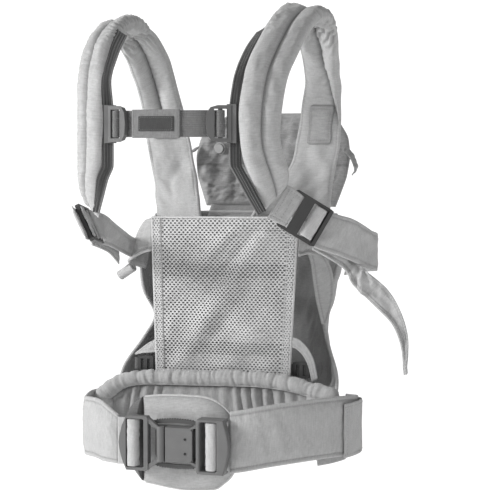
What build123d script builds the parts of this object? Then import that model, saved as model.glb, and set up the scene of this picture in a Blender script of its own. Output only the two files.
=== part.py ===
from build123d import *
import math
import os
import numpy as np

os.makedirs("parts", exist_ok=True)

# Soft baby carrier: waist belt with a large plastic buckle, a mesh chest panel, a fabric
# pouch for the child, two padded shoulder straps, a sliding chest strap and a head support.
# Frame: origin at the centre of the waist loop, half way up the waist strap.
# +Z up, +Y the way the wearer faces, +X the wearer's right.

# ---- driving dimensions (mm)
WAIST_STRAP_W = 60.0      # height of the waist strap
WAIST_STRAP_T = 4.0
BUCKLE_X = -2.0           # middle of the waist buckle
BUCKLE_Z = -3.0
BUCKLE_FRONT = -100.0     # Y of the buckle's front
BUCKLE_H = 53.0
TONGUE_TRAVEL = 32.0
PAD_T = 15.0              # shoulder pad thickness
STRAP_T = 5.0             # flat shoulder strap thickness
RAIL_T = 2.4
CHEST_W = 25.0            # chest webbing width
CHEST_Z = 303.5           # chest strap height
CHEST_Y = -118.0
SIDE_W = 38.0             # shoulder webbing width
SHEET_T = 3.0
MESH_T = 2.4
HEAD_T = 14.0


def vec(*p):
    return np.array(p, float)


def unit(v):
    v = np.asarray(v, float)
    return v / np.linalg.norm(v)


def solid(verts, tris):
    """Closed solid of flat triangles."""
    v = np.asarray(verts, float)
    vol = sum(np.dot(v[a], np.cross(v[b], v[c])) for a, b, c in tris)
    if vol < 0:
        tris = [(a, c, b) for a, b, c in tris]
    return Solid(Shell([Face(Wire.make_polygon([Vector(*v[i]) for i in t], close=True)) for t in tris]))


def rings(secs):
    """Closed solid through a list of rings with the same number of points."""
    n = len(secs[0])
    v = [p for s in secs for p in s]
    t = []
    for i in range(len(secs) - 1):
        for k in range(n):
            a, b = i * n + k, i * n + (k + 1) % n
            c, d = a + n, b + n
            t += [(a, b, d), (a, d, c)]
    t += [(0, k + 1, k) for k in range(1, n - 1)]
    m = (len(secs) - 1) * n
    t += [(m, m + k, m + k + 1) for k in range(1, n - 1)]
    return solid(v, t)


def spline(pts, n):
    """Centripetal-like Catmull-Rom resampling of points to n rows."""
    p = np.asarray(pts, float)
    if len(p) == 2:
        return [p[0] + (p[1] - p[0]) * i / (n - 1) for i in range(n)]
    p = np.vstack([2 * p[0] - p[1], p, 2 * p[-1] - p[-2]])
    out = []
    m = len(p) - 3
    for i in range(n):
        u = i / (n - 1) * m
        k = min(int(u), m - 1)
        t = u - k
        a, b, c, d = p[k:k + 4]
        out.append(0.5 * (2 * b + (c - a) * t + (2 * a - 5 * b + 4 * c - d) * t * t + (3 * b - 3 * c + d - a) * t ** 3))
    return out


def band(edge_a, edge_b, thick, n=None, shift=0.0, round_=False):
    """Flat strap between two edge curves; thick is its thickness and shift moves it along its normal."""
    a = edge_a if n is None else spline(edge_a, n)
    b = edge_b if n is None else spline(edge_b, n)
    a, b = np.asarray(a, float), np.asarray(b, float)
    mid = (a + b) / 2
    secs = []
    for i in range(len(a)):
        t = mid[min(i + 1, len(a) - 1)] - mid[max(i - 1, 0)]
        w = b[i] - a[i]
        nrm = unit(np.cross(t, w))
        h = thick / 2
        s = nrm * shift
        if round_:
            u = unit(w)
            L = np.linalg.norm(w)
            q = min(h * 0.75, L / 4)
            secs.append([a[i] + s - nrm * h * 0.3, a[i] + u * q + s - nrm * h, b[i] - u * q + s - nrm * h, b[i] + s - nrm * h * 0.3,
                         b[i] + s + nrm * h * 0.3, b[i] - u * q + s + nrm * h, a[i] + u * q + s + nrm * h, a[i] + s + nrm * h * 0.3])
        else:
            secs.append([a[i] + s - nrm * h, b[i] + s - nrm * h, b[i] + s + nrm * h, a[i] + s + nrm * h])
    return rings(secs)


def sheet(grid, thick, side=1.0):
    """Closed solid of a curved sheet: grid of points, made thick to one side of its surface."""
    g = np.asarray(grid, float)
    m, n, _ = g.shape
    nr = np.zeros_like(g)
    for i in range(m):
        for j in range(n):
            du = g[min(i + 1, m - 1), j] - g[max(i - 1, 0), j]
            dv = g[i, min(j + 1, n - 1)] - g[i, max(j - 1, 0)]
            nr[i, j] = unit(np.cross(du, dv))
    back = g + nr * thick * side
    v = [p for r in g for p in r] + [p for r in back for p in r]
    o = m * n
    t = []
    idx = lambda i, j: i * n + j
    for i in range(m - 1):
        for j in range(n - 1):
            a, b, c, d = idx(i, j), idx(i, j + 1), idx(i + 1, j + 1), idx(i + 1, j)
            t += [(a, b, c), (a, c, d), (o + a, o + c, o + b), (o + a, o + d, o + c)]
    loop = [idx(0, j) for j in range(n)] + [idx(i, n - 1) for i in range(1, m)] + \
           [idx(m - 1, j) for j in range(n - 2, -1, -1)] + [idx(i, 0) for i in range(m - 2, 0, -1)]
    for k in range(len(loop)):
        a, b = loop[k], loop[(k + 1) % len(loop)]
        t += [(a, o + a, b), (b, o + a, o + b)]
    return solid(v, t)


def mirror_x(pts):
    return [(-p[0], p[1], p[2]) for p in pts]


def out(name, *shapes):
    shape = shapes[0] if len(shapes) == 1 else Compound(children=list(shapes))
    export_step(shape, f"parts/{name}.step")


def rounded(shape, radius, pick):
    """Round the picked edges with the largest of a few radii that the shape takes."""
    for r in (radius, radius * 0.7, radius * 0.45):
        try:
            res = shape.fillet(r, pick(shape))
            if res.is_valid and res.volume > 0:
                return res
        except Exception:
            pass
    return shape


def frame_at(origin, xdir, normal):
    return Plane(origin=tuple(origin), x_dir=tuple(xdir), z_dir=tuple(normal))


# =====================================================================
# Waist belt
# =====================================================================
# belt panel on the wearer's front, its padded roll above it
BELT = [(-128, 26), (-100, 33), (-60, 37.5), (0, 39), (60, 37.5), (100, 33), (131, 27)]
bx = [p[0] for p in BELT]
by = [p[1] for p in BELT]
belt_y = lambda x: float(np.interp(x, bx, by))
roll_z = lambda x: float(np.interp(x, [-128, -118, -104, -83, -45, 0, 42, 71, 92, 113, 131], [18, 29, 38.5, 42.5, 43, 44, 45, 43, 39.5, 35, 30.5]))

xs = [-128, -122, -112, -100, -80, -60, -30, 0, 30, 60, 80, 100, 112, 122, 131]
secs = []
for x in xs:
    y = belt_y(x)
    top = roll_z(x) - 9.0
    e = 3.0 if x in (xs[0], xs[-1]) else 6.0
    secs.append([(x, y - e, -30), (x, y + e, -30), (x, y + e, top), (x, y - e, top)])
out("belt_panel", rings(secs))

secs = []
for x in xs:
    r = 5.0 if x in (xs[0], xs[-1]) else (7.4 if x in (xs[1], xs[-2]) else 8.2)
    yc, zc = belt_y(x) - 5.0, roll_z(x)
    secs.append([(x, yc + r * math.cos(a), zc + r * math.sin(a)) for a in [k * math.pi / 5 for k in range(10)]])
out("bolster_roll", rings(secs))

# right half of the waist strap: from the buckle loop round the hip to the belt panel's end
hw = WAIST_STRAP_W / 2
right_mid = [(51, -84.5, 0), (66, -81.5, 2.5), (84, -74, 5.8), (104, -61, 8.3), (124, -40, 9.5), (139, -14, 8.6), (146.5, 9, 6.5), (148, 24, 4.8), (143.5, 31.5, 4), (134.5, 33.5, 4)]
rm = spline(right_mid, 19)
out("waist_strap_right", band([(p[0], p[1], p[2] - hw) for p in rm], [(p[0], p[1], p[2] + hw) for p in rm], WAIST_STRAP_T))
left_mid = [(-62.5, -85, -3), (-76, -80.5, 1), (-92, -70, 4), (-108, -54, 2.5), (-120, -34, -0.5), (-129, -10, -2.5), (-134, 6, -3), (-135, 18, -2.5), (-131.5, 28.5, -2)]
lm = spline(left_mid, 19)
lh = [hw if p[0] < -84 else 24 + (hw - 24) * min(1, max(0, (-p[0] - 62) / 22)) for p in lm]
out("waist_strap_left", band([(p[0], p[1], p[2] - h) for p, h in zip(lm, lh)], [(p[0], p[1], p[2] + h) for p, h in zip(lm, lh)], WAIST_STRAP_T))

# folded keeper on the right hip, two layers of fabric standing round the strap's turn
keep_out = [(145.4, -14, 0), (150.8, 4, 0), (152.6, 21, 0), (149.8, 33.6, 0), (140.6, 39.0, 0)]
ko = spline(keep_out, 9)
out("hip_keeper_right", band([(p[0], p[1], -22.5) for p in ko], [(p[0], p[1], 31) for p in ko], 2.2))
flap = [(124, -34.0, 0), (132, -20.5, 0), (138.5, -4, 0), (141.5, 8, 0)]
out("hip_flap_right", band([(p[0], p[1], -27.5) for p in flap], [(p[0] - 2.0, p[1] + 1.5, -18.0) for p in flap], 1.6))

# lumbar pad behind the buckle, with a darker strip at its left side
LUM = [(-43, 38), (-20, 40.5), (18, 40.5), (36, 35), (48, 24), (54, 8), (55, -12), (50, -32), (40, -43), (28, -49.5), (-4, -51), (-43, -46)]
LUM_L = [(-43.4, 38), (-43.4, -46), (-50, -38), (-60, -24), (-63, -8), (-63, 10), (-58, 25), (-50, 34)]


def puff(outline, y_front, y_back, crown, inset):
    """Pillow: outline in XZ, crowned towards the front and back."""
    o = np.array(outline, float)
    c = o.mean(axis=0)
    secs = []
    for f, y in ((1 - 2.2 * inset, y_back), (1 - inset * 0.5, y_back - 2.5), (1.0, (y_back + y_front) / 2), (1 - inset * 0.5, y_front + 3), (1 - 2.2 * inset, y_front + crown * 0.35), (1 - 6 * inset, y_front)):
        secs.append([(c[0] + (p[0] - c[0]) * f, y, c[1] + (p[1] - c[1]) * f) for p in o])
    return rings(secs)


out("lumbar_pad", puff(LUM, -80.0, -60, 3, 0.03))
out("lumbar_side_panel", puff(LUM_L, -79.0, -61, 3, 0.02))

# =====================================================================
# Waist buckle: tongue on the left, socket on the right
# =====================================================================
BX, BZ = BUCKLE_X, BUCKLE_Z


def plate(points, y0, y1, r=0.0):
    """Polygon in XZ (relative to the buckle's middle), from y0 (front) to y1 (back)."""
    pts = [(BX + p[0], p[1] + BZ) for p in points]
    with BuildPart() as bp:
        with BuildSketch(Plane(origin=(0, y1, 0), x_dir=(1, 0, 0), z_dir=(0, -1, 0))):
            with BuildLine():
                Polyline(*[(x, z) for x, z in pts], close=True)
            make_face()
            if r:
                fillet(vertices(), r)
        extrude(amount=y1 - y0)
    return bp.part


H = BUCKLE_H / 2
# tongue: D-shaped strap frame, upright, two slanting arms, rounded cross bar and a thin blade
d_left = [(-48, -H), (-52.5, -H * 0.62), (-55, -H * 0.25), (-56, 0), (-55, H * 0.25), (-52.5, H * 0.62), (-48, H), (-27, H), (-25.4, H - 2), (-25.4, -H + 2), (-27, -H)]
tongue = plate(d_left, -99, -91) - plate([(-48.2, -H + 3), (-48.2, H - 3), (-30.0, H - 3), (-30.0, -H + 3)], -100, -90, 1.5)
tongue = rounded(tongue, 1.3, lambda q: q.edges().group_by(Axis.Y)[0])
tongue += plate([(-44.5, -H + 1), (-44.5, H - 1), (-40.5, H - 1), (-40.5, -H + 1)], -95.5, -92.0)
tongue += plate([(-27, H - 5.5), (-27, H - 0.5), (-14.0, 16.6), (-14.0, 12.5)], -98, -92.6)
tongue += plate([(-27, -H + 5.5), (-27, -H + 0.5), (-14.0, -16.6), (-14.0, -12.5)], -98, -92.6)
bar = Pos(BX - 13.4, -95.0, BZ) * Cylinder(4.1, 34.5)
bar &= Pos(BX - 13.4, -96.0, BZ) * Box(7.6, 7.4, 40)
tongue += bar
tongue += plate([(-17.5, -12.5), (-17.5, 12.5), (4, 12.5), (7, 9.5), (7, -9.5), (4, -12.5)], -93.2, -90.6)
out("buckle_tongue", tongue)

# socket: back plate, front plate over the blade, side walls, strap frame on the right
sock = plate([(-20, -17), (-22, -12), (-22, 12), (-20, 17), (20, 17), (24, H - 3), (50, H - 4), (50, -H + 4), (24, -H + 3), (20, -17)], -87.5, -84.5)
sock -= plate([(27.5, -H + 5.5), (27.5, H - 5.5), (45.5, H - 5.5), (45.5, -H + 5.5)], -90, -80)
front = plate([(-8.6, -16.8), (-8.6, 16.8), (16.5, 16.8), (19.5, 14), (19.5, -14), (16.5, -16.8)], -97.2, -94.0)
front = rounded(front, 0.9, lambda q: q.edges().group_by(Axis.Y)[0])
sock += front
sock += plate([(-8.6, 13.6), (-8.6, 16.8), (19.5, 16.8), (19.5, 13.6)], -96, -85)
sock += plate([(-8.6, -16.8), (-8.6, -13.6), (19.5, -13.6), (19.5, -16.8)], -96, -85)
d_right = [(51, -H), (54, -H * 0.62), (56, -H * 0.25), (56.4, 0), (56, H * 0.25), (54, H * 0.62), (51, H), (25, H), (23.4, H - 2), (23.4, -H + 2), (25, -H)]
fr = plate(d_right, -99.5, -85) - plate([(27.2, -H + 3), (27.2, H - 3), (44.5, H - 3), (44.5, -H + 3)], -101, -80, 1.5)
fr = rounded(fr, 1.4, lambda q: q.edges().group_by(Axis.Y)[0])
fr -= plate([(40, -H + 2.5), (40, H - 2.5), (60, H - 2.5), (60, -H + 2.5)], -91.2, -80)
sock += fr
sock += plate([(36.0, -H + 1), (36.0, H - 1), (40.0, H - 1), (40.0, -H + 1)], -95.5, -92.0)
sock += plate([(16.5, 15.4), (16.5, 16.8), (24, 21.5), (24, 17.5)], -97, -92.2)
sock += plate([(16.5, -15.4), (16.5, -16.8), (24, -21.5), (24, -17.5)], -97, -92.2)
out("buckle_socket", sock)

# two small rivets in the front plate
rv = [Pos(BX + 12, -97.5, BZ + z) * Rot(90, 0, 0) * Cylinder(1.2, 0.6) for z in (6, -8)]
out("buckle_rivets", *rv)


# squeeze grips: ribbed arms above and below the socket, each turning at its right end
def arm(sign):
    top = [(-24, 21.4), (-14, 22.9), (0, 23.8), (12, 23.4), (22.2, 22.2)]
    low = [(22.2, 19.0), (12, 19.8), (0, 20.0), (-14, 19.4), (-24, 18.2)]
    a = plate([(x, sign * z) for x, z in top + low], -90.3, -87.9)
    for k in range(15):
        x = -19 + 2.6 * k
        z = float(np.interp(x, [p[0] for p in top], [p[1] for p in top])) + 0.1
        a += Pos(BX + x, -89.1, BZ + sign * z) * Box(1.1, 2.2, 1.4)
    a += Pos(BX + 21.6, -89.1, BZ + sign * 20.8) * Rot(90, 0, 0) * Cylinder(1.7, 2.4)
    return a


out("release_arm_upper", arm(1))
out("release_arm_lower", arm(-1))


# webbing loops round the two strap bars
def loop(sign, x_bar, x_tail):
    """Webbing wrapped round a bar: front bulge, both sides, and a double tail behind."""
    w = 2.0
    xa, xb = x_bar - 5.2, x_bar + 5.2
    o = plate([(xa, -23), (xa, 23), (xb, 23), (xb, -23)], -99.2, -89.5)
    o = rounded(o, 2.6, lambda q: q.edges().filter_by(Axis.Z).group_by(Axis.Y)[0])
    o -= plate([(x_bar - 2.5, -30), (x_bar - 2.5, 30), (x_bar + 2.5, 30), (x_bar + 2.5, -30)], -96.0, -91.5)
    x0, x1 = (x_tail, xb) if sign < 0 else (xa, x_tail)
    o += plate([(x0, -23), (x0, 23), (x1, 23), (x1, -23)], -90.6, -87.8 if sign < 0 else -88.2)
    return o


out("tongue_loop", loop(-1, -42.5, -60.2))
out("socket_loop", loop(1, 38.0, 52.6))

# =====================================================================
# Mesh chest panel with its side bands, and the sewn-on label behind it
# =====================================================================
TL, TR, BL, BR = vec(-77, 40, 208.5), vec(82, 40, 210), vec(-74, 46, 37), vec(71, 46, 37)


FLIP = 1  # the mesh thickens away from the wearer


def mp(u, v):
    return (TL * (1 - u) + TR * u) * (1 - v) + (BL * (1 - u) + BR * u) * v


g = [[mp(u, v) for u in np.linspace(0.062, 0.938, 4)] for v in np.linspace(0, 1, 4)]
out("mesh_panel", sheet(g, MESH_T, FLIP))
g = [[mp(u, v) for u in (0, 0.03, 0.0605)] for v in np.linspace(0, 1, 4)]
out("mesh_side_band_left", sheet(g, MESH_T, FLIP))
g = [[mp(u, v) for u in (0.9395, 0.97, 1)] for v in np.linspace(0, 1, 4)]
out("mesh_side_band_right", sheet(g, MESH_T, FLIP))
lab = Pos(-16, 50.6, 62) * Box(48, 0.8, 22)
out("inner_label", lab)

# =====================================================================
# Shoulder straps (right side; the left mirrors it)
# =====================================================================
# inner (I) and outer (O) edges from the lower end behind the wearer, over the shoulder, to the chest
PAD_I = [(84, -80, 222), (80, -88, 236), (75.8, -99.4, 252.6), (71.4, -105.5, 269.6), (69.2, -108.5, 288.4), (68, -108.7, 316.4), (69.4, -102.2, 344.7), (71.5, -89, 364), (74, -72, 380),
         (76, -48, 397.5), (78, -20, 411), (79, 8, 416), (78.3, 36, 412), (76, 62, 399.5), (74, 82, 381)]
PAD_O = [(103, -70, 246), (105.5, -73, 253), (106.5, -78, 262), (104.5, -84, 274), (102.3, -89.5, 291), (103.3, -87.1, 316.9), (106.3, -78.8, 345.6), (110.5, -62, 367), (113, -44, 383),
         (116, -22, 399), (119, 2, 409), (121, 25, 409), (121, 46, 399), (118.5, 64, 383), (115.5, 76, 366)]
# the left pad hangs lower at its end
PAD_I_L = [(83.5, -84, 213), (80, -92, 232)] + PAD_I[2:9] + [(75.5, -48, 394), (76.5, -20, 405), (77.2, 8, 409), (77, 36, 405.5), (75.6, 62, 395), (74, 82, 380)]
PAD_O_L = [(103.5, -67, 229), (103.5, -73, 243), (104, -80, 258), (102, -84, 274), (99.8, -89.5, 291), (100.8, -87.1, 316.9), (103.8, -78.8, 345.6), (108, -62, 367), (110.5, -44, 381),
           (112.5, -22, 393.5), (114.5, 2, 401), (116, 25, 400), (116.5, 46, 391), (116, 64, 379), (115.0, 76, 366)]
STRAP_I = [(73.5, 86.5, 375), (73, 96, 362), (71.5, 103, 347), (66.3, 108.2, 321.2), (60, 112, 289.3), (55, 110, 266), (46, 97, 246), (35, 69, 228), (25.5, 44.6, 210)]
STRAP_O = [(115.3, 79.5, 361), (114, 86, 352), (112.8, 93, 340), (110.8, 102.5, 318), (108.6, 107.3, 289.3), (104.6, 109.2, 266), (100.5, 110, 246), (98, 111, 228), (97, 112, 212.5)]


def offset_edge(I, O, d):
    """Curve d mm beyond the inner edge, away from the outer edge."""
    res = []
    for a, b in zip(I, O):
        a, b = np.array(a, float), np.array(b, float)
        res.append(a + unit(a - b) * d)
    return res


for side in ("right", "left"):
    mx = (lambda p: p) if side == "right" else mirror_x
    shift = 0.0
    I, O = (PAD_I, PAD_O) if side == "right" else (mirror_x(PAD_I_L), mirror_x(PAD_O_L))
    out(f"shoulder_pad_{side}", band(I, O, PAD_T, n=34, round_=True))
    SI, SO = mx(STRAP_I), mx(STRAP_O)
    out(f"anchor_strap_{side}", band(SI, SO, STRAP_T, n=19))
    # sewn fabric patch on the far limb, on the face towards the wearer
    pI, pO = np.array(SI[3]), np.array(SO[3])
    qI, qO = np.array(SI[4]), np.array(SO[4])
    a0, b0 = pI + (pO - pI) * 0.28 + (0, -5.2, 5), pI + (pO - pI) * 0.82 + (0, -5.2, 5)
    a1, b1 = qI + (qO - qI) * 0.30 + (0, -5.2, 0), qI + (qO - qI) * 0.80 + (0, -5.2, 0)
    out(f"strap_patch_{side}", band([a0, (a0 + a1) / 2, a1], [b0, (b0 + b1) / 2, b1], 1.6))

# rails along the pads' inner edges: upright where the chest strap slides on them
RAIL_A = [(85.5, -87.5, 222), (79, -96, 238), (73, -101.5, 252), (68.5, -105.6, 262), (67.2, -106.4, 268), (67.2, -106.4, 342), (68.5, -101, 352), (70.0, -91, 363), (72.5, -74, 379), (74.5, -52, 393.5)]
RAIL_B = [(79, -82.5, 218), (72, -91.5, 234), (65.5, -98.5, 249.5), (60.8, -104.4, 261), (59.0, -106.4, 268), (59.0, -106.4, 342), (60.2, -101, 351), (61.5, -90, 361), (64.0, -74, 375), (66.5, -52, 389)]
for side in ("right", "left"):
    mx = (lambda p: p) if side == "right" else mirror_x
    ra, rb = list(RAIL_A), list(RAIL_B)
    if side == "left":
        ra[:3] = [(81.4, -86.2, 213), (77.6, -94.2, 232), (73, -102, 252)]
        rb[:3] = [(76.0, -87.5, 211), (71.0, -95.6, 230), (65.5, -101.0, 249.5)]
    a, b = np.array(mx(ra), float), np.array(mx(rb), float)
    sgn = 1 if side == "right" else -1
    a[:, 0] -= 1.0 * sgn
    out(f"pad_rail_{side}", band(a, b, RAIL_T))

# =====================================================================
# Chest strap: one body that slides up and down on the rails
# =====================================================================
CT = math.radians(25)


def slider(sign):
    """Slide clip over a rail, with a slotted frame for the chest webbing."""
    z0 = CHEST_Z
    clip = Pos(sign * 61.6, -106.4, z0) * Box(9.2, 8.4, 36)
    slot = Pos(sign * 65.4, -106.4, z0) * Box(14, 3.6, 40)
    o = vec(sign * 58.6, -108.2, z0)
    u = vec(-sign * math.cos(CT), -math.sin(CT), 0)
    n = vec(sign * math.sin(CT), -math.cos(CT), 0)
    pl = frame_at(o, u, n)
    with BuildPart() as f:
        with BuildSketch(pl):
            with BuildLine():
                Polyline((-1.5, -17), (11, -17), (17.5, -15.2), (21, -10.5), (22, 0), (21, 10.5), (17.5, 15.2), (11, 17), (-1.5, 17), close=True)
            make_face()
            with Locations((8.2, 0)):
                Rectangle(12.6, 27.2, mode=Mode.SUBTRACT)
        extrude(amount=4.2)
    fr = f.part
    with BuildPart() as b:
        with BuildSketch(frame_at(o + n * 1.2, u, n)):
            with Locations((8.6, 0)):
                Rectangle(4.2, 29)
        extrude(amount=1.8)
    s = clip + fr + b.part - slot
    return s


out("chest_slider_right", slider(1))
out("chest_slider_left", slider(-1))


def web_path(sign):
    o = vec(sign * 58.6, -108.2, 0)
    u = vec(-sign * math.cos(CT), -math.sin(CT), 0)
    n = vec(sign * math.sin(CT), -math.cos(CT), 0)
    loc = [(4.6, -1.3), (5.4, 1.6), (6.4, 4.6), (8.6, 5.4), (10.8, 4.6), (12.0, 1.6), (12.7, -1.2), (14.4, -2.2), (16, -2.4), (21.5, -2.2)]
    return [o + u * a + n * b for a, b in loc]


wl, wr = web_path(-1), web_path(1)
mid = [(-30, -118.2, 0), (-15, -119.2, 0), (0, -119.5, 0), (15, -119.2, 0), (30, -118.2, 0)]
path = [np.array(p, float) for p in wl] + [np.array(p, float) for p in mid] + [np.array(p, float) for p in wr[::-1]]
cw = CHEST_W / 2
out("chest_webbing", band([(p[0], p[1], CHEST_Z - cw) for p in path], [(p[0], p[1], CHEST_Z + cw) for p in path], 1.6))
sl = [(-33.5, -119.9), (-20, -120.9), (-5, -121.4), (8, -121.4), (15, -121.2)]
out("chest_sleeve", band([(x, y, CHEST_Z - 13.2) for x, y in sl], [(x, y, CHEST_Z + 13.2) for x, y in sl], 1.8))
sl = [(-26.5, -122.0), (-12, -122.7), (9, -122.9)]
out("chest_label", band([(x, y, CHEST_Z - 6.8) for x, y in sl], [(x, y, CHEST_Z + 6.8) for x, y in sl], 0.8))

# =====================================================================
# Shoulder adjusters: ladder frames between the pads and the side webbing
# =====================================================================
AR_O, AR_H = vec(117, -57, 214.5), unit((0.86, 0.5, 0))
AR_D = unit(AR_H * math.cos(math.radians(31)) + vec(0, 0, -1) * math.sin(math.radians(31)))
AR_N = unit((0.5, -0.86, 0))
AR_W = np.cross(AR_N, AR_D)
AL_O = vec(-108, -50, 204.5)
AL_D = unit((-0.12, 0.978, -0.171))
AL_N = unit(np.cross(AL_D, np.cross(unit((-0.886, -0.047, -0.462)), AL_D)))
AL_W = np.cross(AL_N, AL_D)


def adjuster(o, d, n, length, width):
    """Ladder lock: curved plate with two slots and a raised grip edge. d runs along the strap."""
    pl = frame_at(o - n * 2.0, d, n)
    with BuildPart() as f:
        with BuildSketch(pl):
            RectangleRounded(length, width, 3.0)
            with Locations((-length * 0.5 + 7.6, 0), (length * 0.10, 0)):
                Rectangle(6.4, width - 6, mode=Mode.SUBTRACT)
            with Locations((length * 0.5 - 6.4, 0)):
                Rectangle(4.6, width - 6, mode=Mode.SUBTRACT)
        extrude(amount=4.0)
    p = f.part
    with BuildPart() as g:
        with BuildSketch(frame_at(o + n * 1.6, d, n)):
            with Locations((length * 0.5 - 1.9, 0)):
                RectangleRounded(3.6, width - 1, 1.2)
        extrude(amount=2.2)
    return p + g.part


out("shoulder_adjuster_right", adjuster(AR_O, AR_D, AR_N, 42, 40))
out("shoulder_adjuster_left", adjuster(AL_O, AL_D, AL_N, 40, 40))


def ribbon(path, wdirs, width, thick, n):
    p = spline(path, n)
    w = [unit(x) for x in spline(wdirs, n)]
    wd = spline([(x, 0, 0) for x in (width if isinstance(width, (list, tuple)) else [width, width])], n)
    return band([a - b * c[0] / 2 for a, b, c in zip(p, w, wd)], [a + b * c[0] / 2 for a, b, c in zip(p, w, wd)], thick)


# fabric tabs from the pads' lower ends, each looped through its adjuster's first slot
def tab(o, d, n, w, length, start):
    s = o - d * (length / 2 - 7.6)
    p = [start, (np.array(start) + (s - d * 7 + n * 3.4)) / 2 + n * 0.6, s - d * 6.5 + n * 3.6, s - d * 2.2 + n * 3.4, s + d * 0.3 + n * 0.2, s - d * 1.2 - n * 3.4, s - d * 8 - n * 3.6]
    return ribbon(p, [w] * len(p), 32, 1.8, 13)


out("adjuster_tab_right", tab(AR_O, AR_D, AR_N, AR_W, 42, tuple(AR_O - AR_D * 27.0 + AR_N * 3.6)))
out("adjuster_tab_left", tab(AL_O, AL_D, AL_N, AL_W, 40, tuple(AL_O - AL_D * 24.0 + AL_N * 3)))

# side webbing from the adjuster to the wing, sleeved in fabric
WR = [AR_O + AR_D * 9.5 - AR_N * 3.6, AR_O + AR_D * 2.5 + AR_N * 3.7, AR_O - AR_D * 1.5 + AR_N * 4.0, AR_O - AR_D * 4.6 + AR_N * 1.0]
side_r = [AR_O + AR_D * 5.6 - AR_N * 3.9, AR_O + AR_D * 24 - AR_N * 4.6, (150.5, -33, 195.5), (160, -16, 188.5), (165.8, 5, 181.5), (166.8, 27, 178), (158.5, 46, 176), (143, 58, 173.5), (125, 69.5, 169)]
wd_r = [AR_W, AR_W, (0.28, 0.18, 0.95), (0.14, 0.1, 1), (0.03, 0.05, 1), (0, 0, 1), (0.05, -0.05, 1), (0.1, -0.1, 1), (0.12, -0.12, 1)]
out("side_webbing_right", ribbon(side_r, wd_r, SIDE_W, 2.6, 25))
side_l = [AL_O + AL_D * 5.2 - AL_N * 3.9, AL_O + AL_D * 24 - AL_N * 4.2, (-108.5, -10, 196.5), (-108.6, 13, 190), (-108.6, 36, 183), (-110, 58, 177)]
wd_l = [-AL_W, -AL_W, (0.35, 0.05, 1), (0.30, 0.05, 1), (0.34, 0.05, 1), (0.4, 0, 1)]
out("side_webbing_left", ribbon(side_l, wd_l, [32, 30, 24, 21], 2.6, 19))

# bar of webbing turned over each adjuster's middle bar
for side, o, d, n, w, s in (("right", AR_O, AR_D, AR_N, AR_W, 1.0), ("left", AL_O, AL_D, AL_N, AL_W, 0.6)):
    L = 42 if side == "right" else 40
    u0, u1 = 0.10 * L, 0.5 * L - 6.4
    c, a = o + d * (u0 + u1) / 2, (u1 - u0) / 2
    pth = [c - d * a + n * 0.4, c - d * (a - 0.6) + n * 3.8, c - d * a * 0.4 + n * 5.2, c + d * a * 0.4 + n * 5.2, c + d * (a - 0.6) + n * 3.8, c + d * a + n * 0.4]
    out(f"webbing_fold_{side}", ribbon(pth, [w] * len(pth), 32, 1.8, 11))

# free tail of the right webbing, hanging outside; the left tail lies along the webbing and ends in a roll
tail_lo = [(120.5, -40, 184.5), (135.8, -31, 174.3), (148.6, -22, 163.4), (156.5, -18, 148), (175.1, -12, 129.1), (193.1, -8, 109.8), (201.2, -6, 85.6), (203.6, -5, 61.5)]
tail_hi = [(137, -31, 190), (146, -24, 181), (153.5, -12.5, 173), (170, -18, 161), (187.4, -10, 143.8), (201.2, -8, 119.8), (207.0, -6, 93.6), (206.6, -9, 62.5)]
out("tail_right", band(tail_lo, tail_hi, 3.0, n=21))
tail_l = [AL_O + AL_D * 18 + AL_N * 9.0 + AL_W * 8, (-117, -16, 189), (-117, 8, 183), (-117, 26, 176.5), (-115, 43, 164.5)]
wt_l = [-AL_W, (0.3, 0.1, 1), (0.2, 0.05, 1), (0.1, 0, 1), (0, 0, 1)]
out("tail_left", ribbon(tail_l, wt_l, [17, 16, 14, 13], 2.2, 13))
roll = Pos(-109.5, 50, 151) * Rot(0, 58, -8) * Cylinder(6.2, 19)
out("tail_roll_left", roll)

# =====================================================================
# Pouch: wings at the mesh panel's sides, outer panel, lower gussets
# =====================================================================
ZL = [4, 26, 48, 75, 100, 130, 160, 188, 208]
HALF = {4: [(114, 46), (80, 49.5), (40, 51.0), (0, 52.0)],
        26: [(118, 52), (84, 66), (44, 74), (0, 76)],
        48: [(116, 62), (90, 90), (50, 108), (0, 113)],
        75: [(102, 82), (86, 120), (54, 142), (0, 149)],
        100: [(93, 96), (82, 140), (54, 168), (0, 177)],
        130: [(102, 84), (86, 150), (58, 186), (0, 196)],
        160: [(108, 93), (88, 158), (60, 197), (0, 208)],
        188: [(104, 104), (86, 168), (60, 203), (0, 213)],
        208: [(98.5, 114), (84, 178), (60, 206), (0, 214)]}
grid = []
for z in ZL:
    h = HALF[z]
    row = spline([(-p[0], p[1], z) for p in h] + [(p[0], p[1], z) for p in h[-2::-1]], 15)
    grid.append(row)
out("outer_panel", sheet(grid, SHEET_T, 1))

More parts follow.
